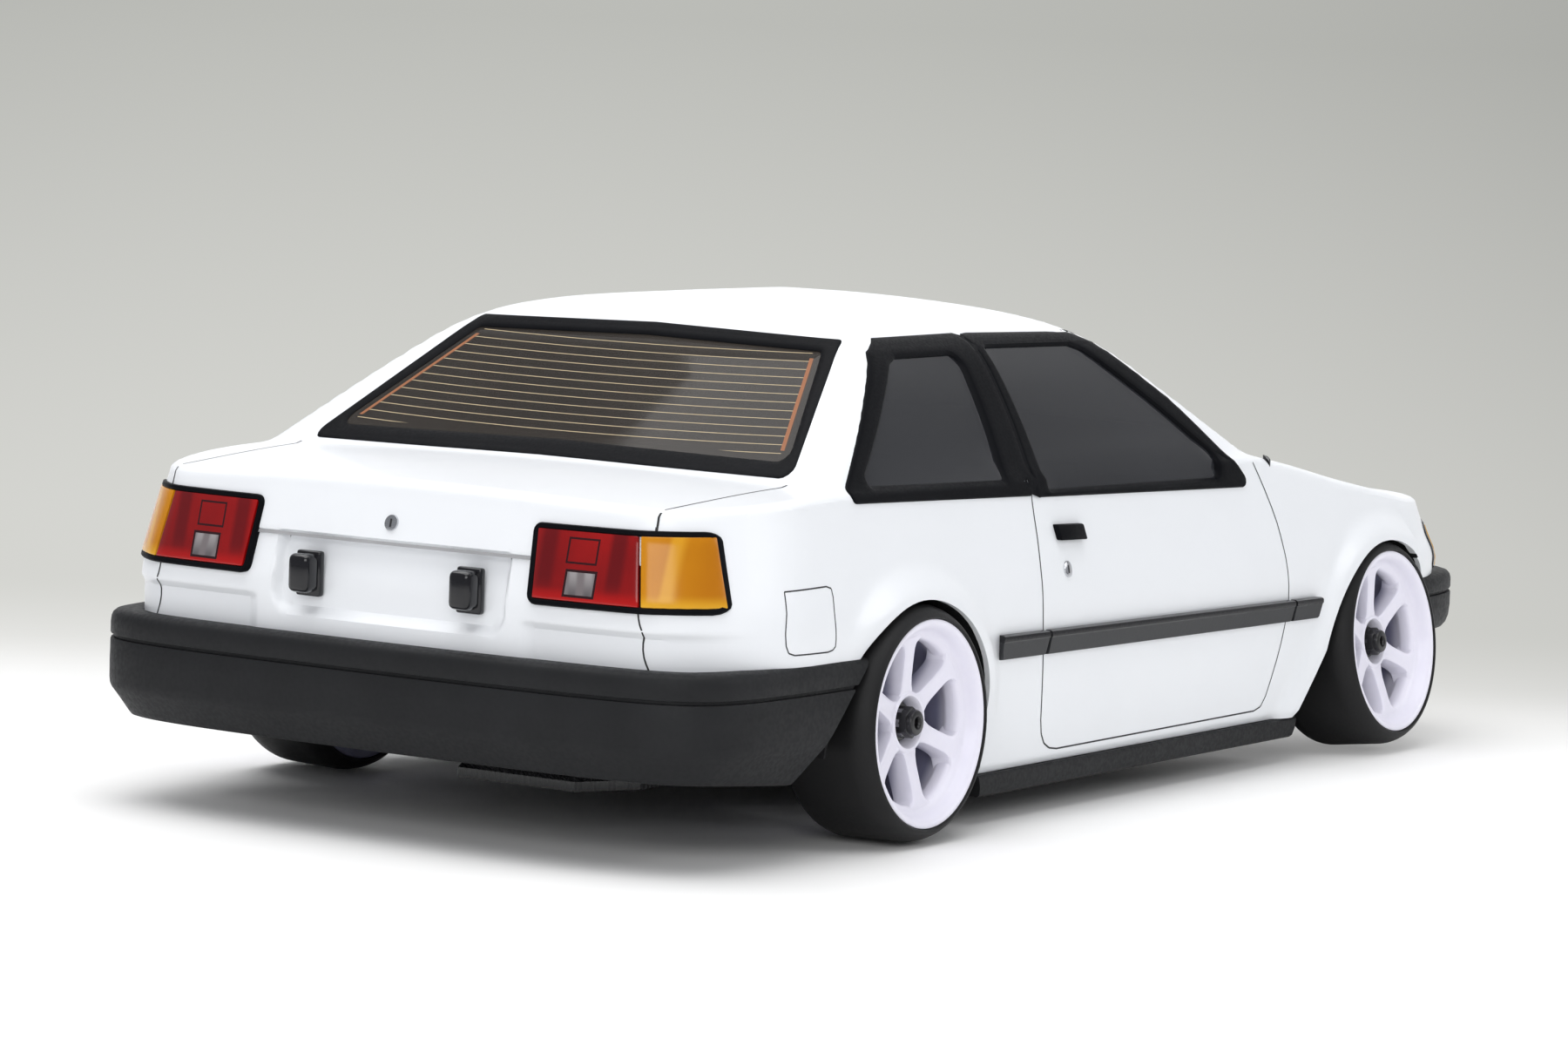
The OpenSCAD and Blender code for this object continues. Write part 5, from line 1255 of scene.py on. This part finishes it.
# the wheel's sections: radius, then the place along the axle
wheelSpec = {
    "spokes": 6, "turn": 37, "segments": 84,
    "barrel": [(26.0, 12.55), (25.85, 12.9), (25.45, 13.05), (24.9, 13.0), (24.3, 12.6), (23.75, 11.8),
               (23.3, 10.7), (22.95, 9.7), (22.5, 9.2), (21.9, 9.0), (21.2, 8.7), (20.75, 8.1), (20.6, 7.2),
               (20.7, 5.2), (21.0, 4.4), (21.7, 3.6), (22.2, 2.0), (22.4, 0), (22.4, -12.4), (22.8, -12.9),
               (25.4, -13.0), (25.9, -12.7), (26.0, -12.2), (25.8, -10.4), (24.3, -9.4), (24.2, 8.8),
               (25.7, 10.6)],
    "boss": [(2.12, 0.95), (2.12, 1.5), (5.0, 1.5), (5.3, 1.9), (5.9, 5.2), (6.2, 6.3), (6.6, 6.8),
             (7.1, 6.85), (7.6, 6.6), (7.95, 6.0), (8.2, 4.5), (8.3, 0.95)],
    "spokeRows": [(6.8, 3.7, 0.9, 6.4), (7.8, 3.0, 0.8, 6.75), (9.0, 2.6, 0.7, 6.9), (11, 2.4, 0.9, 7.15),
                  (14, 2.35, 1.4, 7.7), (17, 2.4, 2.1, 8.25), (18.6, 2.65, 2.6, 8.5),
                  (19.7, 3.2, 3.0, 8.65), (20.5, 4.1, 3.3, 8.75), (21.2, 5.3, 3.6, 8.85),
                  (21.9, 6.5, 3.8, 8.9)],
    "tyre": [(26.0, 12.2), (26.05, 13.0), (26.4, 13.35), (26.9, 13.25), (27.6, 12.6), (28.4, 11.5),
             (29.05, 10.1), (29.42, 8.8), (29.58, 7.6), (29.6, 6.2), (29.6, -6.2), (29.58, -7.6),
             (29.42, -8.8), (29.05, -10.1), (28.4, -11.5), (27.6, -12.6), (26.9, -13.2), (26.2, -13.2),
             (26.0, -12.6)],
    "flange": [(2.0, 1.55), (4.4, 1.55), (4.4, 2.8), (4.8, 3.1), (4.85, 4.0), (4.5, 4.5), (2.0, 4.6)],
    "cap": [(1.15, 7.5), (3.1, 7.5), (3.3, 7.8), (3.3, 8.6), (3.0, 9.15), (2.5, 9.3), (1.7, 9.3),
            (1.35, 8.9), (1.15, 8.4)],
    "hexa": {"radius": 4.05, "high": 3.6, "rounding": 0.3, "middle": 6.1},
}

# each wheel's centre, camber and side
wheelPlaces = {
    "rear_left": ((-118.6, 86.207, 29.838), 1.9, 1), "rear_right": ((-118.6, -86.207, 29.838), 1.9, -1),
    "front_left": ((138.4, 86.897, 30.343), 7.0, 1), "front_right": ((138.4, -86.897, 30.343), 7.0, -1),
}


def turned(profile, segments):
    work = bmesh.new()
    verts = [work.verts.new((r, y, 0)) for r, y in profile]
    edges = [work.edges.new((verts[k - 1], verts[k])) for k in range(len(verts))]
    bmesh.ops.spin(work, geom=verts + edges, cent=(0, 0, 0), axis=(0, 1, 0), angle=2 * math.pi,
                   steps=segments, use_duplicate=False)
    bmesh.ops.remove_doubles(work, verts=work.verts, dist=1e-4)
    return work


def spokeWork(angle):
    work = bmesh.new()
    loops = []
    for r, half, back, front in wheelSpec["spokeRows"]:
        soft = min(0.75, half * 0.3)
        section = [(-half, back), (-half, front - soft * 1.2), (-half + soft * 0.3, front - soft * 0.45),
                   (-half + soft, front - soft * 0.05), (-half + soft * 2, front)]
        section += [(-w, y) for w, y in reversed(section)]
        pull = 0.8 if r > 20 else 0            # the flared ends follow the barrel
        loops.append([work.verts.new((math.sqrt(r * r - w * w * pull), y, w)) for w, y in section])
    for a, b in zip(loops, loops[1:]):
        for i in range(len(a)):
            work.faces.new((a[i - 1], a[i], b[i], b[i - 1]))
    work.faces.new(loops[0])
    work.faces.new(list(reversed(loops[-1])))
    turn = Matrix.Rotation(-math.radians(angle), 3, "Y")
    bmesh.ops.rotate(work, verts=work.verts, cent=(0, 0, 0), matrix=turn)
    return work


def nutWorks():
    hexa, spec = bmesh.new(), wheelSpec["hexa"]
    radius = spec["radius"]
    bmesh.ops.create_cone(hexa, segments=6, radius1=radius, radius2=radius, depth=spec["high"],
                          cap_ends=True)
    bmesh.ops.bevel(hexa, geom=hexa.edges[:], offset=spec["rounding"], segments=2, profile=0.5,
                    affect="EDGES")
    upright = Matrix.Rotation(math.radians(-90), 3, "X")
    bmesh.ops.rotate(hexa, verts=hexa.verts, cent=(0, 0, 0), matrix=upright)
    bmesh.ops.translate(hexa, verts=hexa.verts, vec=(0, spec["middle"], 0))
    return [turned(wheelSpec["flange"], 40), hexa, turned(wheelSpec["cap"], 40)]


def atWheel(works, which):
    (x, y, z), camber, side = wheelPlaces[which]
    whole = merged(works)
    lean = Matrix.Rotation(math.radians(camber), 4, "X")
    move = Matrix.Translation((x, abs(y), z))
    scale = Matrix.Diagonal((mm, mm * side, mm, 1))
    bmesh.ops.transform(whole, matrix=scale @ move @ lean, verts=whole.verts)
    return finishMesh(whole, 32)


def rimPaint():                                # darker behind the spokes, where the light hardly reaches
    s = Shader("rimWhite")
    x, y, z = s.axes()
    grain = s.noise(500, 2)
    tone = s.mix(grain.ramp(0.35, 0.7), (0.81, 0.795, 0.89), (0.82, 0.805, 0.895))
    tone = s.mix(y.abs().ramp(91.2, 87.0), tone, (0.25, 0.25, 0.36))
    return s.finish(colour=tone, roughness=grain * 0.06 + 0.3, coat=0.1, coatRoughness=0.1, specular=0.3,
                    normal=s.bump(grain, 0.002, 0.3))


def tyreRubber():
    s = Shader("tyreRubber")
    grain = s.noise(1300, 4)
    tone = s.mix(s.noise(25, 2).ramp(0.3, 0.7), (0.009, 0.009, 0.0095), (0.013, 0.013, 0.0137))
    return s.finish(colour=tone, roughness=grain * 0.15 + 0.45, specular=0.22, normal=s.bump(grain, 0.03))


rimWhite, rubber = rimPaint(), tyreRubber()
nutBlack = mouldedPlastic("nutBlack", (0.007, 0.007, 0.008), 0.32, coat=0.2, specular=0.35)
for which in wheelPlaces:
    end, hand = which.split("_")
    body, carrier = f"{end}_wheel_{hand}", f"front_knuckle_{hand}"
    rim = [turned(wheelSpec["barrel"], wheelSpec["segments"]), turned(wheelSpec["boss"], 48)]
    rim += [spokeWork(wheelSpec["turn"] + 360 / wheelSpec["spokes"] * k) for k in range(wheelSpec["spokes"])]
    for part, works, slot, material, node, holder in (
            ("Rim", rim, "wheel_white", rimWhite, f"{end}_rim_{hand}", body),
            ("Tyre", [turned(wheelSpec["tyre"], 96)], "tyre_rubber", rubber, f"{end}_tyre_{hand}", body),
            ("Nut", nutWorks(), "gloss_black", nutBlack, None, body if end == "rear" else carrier)):
        addObject(end + part + hand.title(), atWheel(works, which), slot, material, node, holder)
print("wheels")


# the working parts keep their CAD shapes, and get a finish each
def carbonTwill():
    s = Shader("carbonTwill")
    x, y, z = s.axes()
    weave = ((x + y) * 0.55).wave(1.0) * ((x - y) * 0.55).wave(1.0)
    tone = s.mix(weave, (0.009, 0.010, 0.012), (0.030, 0.031, 0.035))
    return s.finish(colour=tone, roughness=weave * 0.2 + 0.22, coat=0.7, coatRoughness=0.08)


def banded(name, pattern, under, over, grain, rough, spread=0.1, **more):
    s = Shader(name)
    share = pattern(*s.axes())
    return s.finish(colour=s.mix(share, under, over), roughness=s.noise(*grain) * spread + rough, **more)


finishes = {
    "carbon": carbonTwill(), "steel": brushedMetal("steel", (0.50, 0.50, 0.52), 0.3),
    "wrap": banded("cellWrap", lambda x, y, z: y.abs().smaller(30) * y.abs().larger(26.5),
                   (0.022, 0.030, 0.060), (0.36, 0.37, 0.40), (240, 2), 0.28, coat=0.3),
    "controller": banded("controller", lambda x, y, z: x.wave(2.2), (0.012, 0.012, 0.014),
                         (0.035, 0.035, 0.04), (500, 2), 0.4, 0.12),
    "motor": banded("motorCan", lambda x, y, z: y.wave(7.0).ramp(0.75, 0.9), (0.030, 0.031, 0.035),
                    (0.34, 0.35, 0.38), (700, 3), 0.26, metallic=0.85),
    "arm": mouldedPlastic("armBlack", (0.022, 0.022, 0.025), 0.48, grain=700, depth=0.03),
}
for name, called, colour, roughness in (
        ("case", "caseBlack", (0.028, 0.028, 0.031), 0.45), ("servo", "servoBlack", (0.016, 0.017, 0.020),
                                                             0.36),
        ("gear", "gearPlastic", (0.055, 0.055, 0.06), 0.38), ("post", "postBlack", (0.02, 0.02, 0.022),
                                                              0.5)):
    finishes[name] = mouldedPlastic(called, colour, roughness)
for name, called, colour, roughness in (
        ("alloy", "alloy", (0.42, 0.43, 0.46), 0.32), ("link", "linkAlloy", (0.13, 0.13, 0.15), 0.28),
        ("horn", "hornAlloy", (0.36, 0.37, 0.40), 0.28), ("spring", "springSteel", (0.30, 0.31, 0.34),
                                                          0.25)):
    finishes[name] = brushedMetal(called, colour, roughness)
nodeFinish = {
    "carbon": ("chassis_plate", "upper_deck", "shock_towers"), "case": ("front_bulkhead", "gearbox_case"),
    "alloy": ("damper_cylinders",), "motor": ("motor_can",), "servo": ("steering_servo",),
    "wrap": ("battery",),
    "controller": ("electronics",), "post": ("body_posts", "window_trims"), "horn": ("servo_horn",),
    "steel": ("motor_pinion", "rear_spool", "rear_axle", "driveshaft", "damper_shaft"),
    "gear": ("spur_gear",),
    "link": ("tie_rod",), "arm": ("knuckle", "c_hub", "hub_carrier", "_arm_"), "spring": ("spring",),
}
for node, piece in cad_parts.items():
    if piece.hide_render or piece.type != "MESH":
        continue
    chosen = next((name for name, parts in nodeFinish.items() if any(part in node for part in parts)),
                  "case")
    piece.data.materials.clear()
    piece.data.materials.append(finishes[chosen])
print("finishes of the working parts")


def onWheel(which, reach):
    (x, y, z), camber, side = wheelPlaces[which]
    lean = math.radians(camber)
    return Vector((x, y + side * reach * math.cos(lean), z + reach * math.sin(lean))) * mm


def outerPoints():                             # where all points of the outermost pieces show in the image
    names = ("shell", "rearBumper", "frontBumper", "rearTyreLeft", "rearTyreRight", "frontTyreRight")
    return [imagePoint(vert.co) for name in names for vert in bpy.data.objects[name].data.vertices]


# how far each thing shows from its place in the photograph
plate, lampCorner = trims["plateLamp"], tailLamp["outline"][3]
plateX = (plate["front"] + plate["back"]) / 2
shown = {
    "trunkLock": layer("rear")(trunkLock.y, trunkLock.z, trims["trunkLock"]["lift"]),
    "doorLock": layer("sideRight")(doorLock.x, doorLock.z, trims["doorLock"]["lift"]),
    "doorHandle": layer("sideRight")(handle.x, handle.z, trims["handle"]["lift"]),
    "fuelDoor": layer("sideRight")(fuelPlace.x, fuelPlace.z, 0.05),
    "cowlNub": layer("top")(nub.x, nub.y, trims["nub"]["lift"]),
    "leftPlateLamp": Vector((plateX, plate["y"], plate["z"])),
    "rightPlateLamp": Vector((plateX, -plate["y"], plate["z"])),
    "leftLampCorner": layer("tail")(lampCorner[0], lampCorner[1], 0.9),
    "rightLampCorner": layer("tail")(-lampCorner[0], lampCorner[1], 0.9),
    "bumperTip": Vector((-143, -96.4, 48)),
    "mouldingRear": Vector((-80, -97, 49)),
    "mouldingFront": Vector((97.5, -97, 47)),
}
shown = {name: place * mm for name, place in shown.items()}
shown["rearNut"], shown["frontNut"] = onWheel("rear_right", 9.3), onWheel("front_right", 9.3)

across, down = zip(*outerPoints())
offsets = {"left": [min(across) - imagePlaces["left"], 0], "right": [max(across) - imagePlaces["right"], 0],
           "top": [0, min(down) - imagePlaces["top"]], "bottom": [0, max(down) - imagePlaces["bottom"]]}
for name, place in shown.items():
    found = imagePoint(place)
    offsets[name] = [found[0] - imagePlaces[name][0], found[1] - imagePlaces[name][1]]
{name: [round(v, 2) for v in pair] for name, pair in offsets.items()}
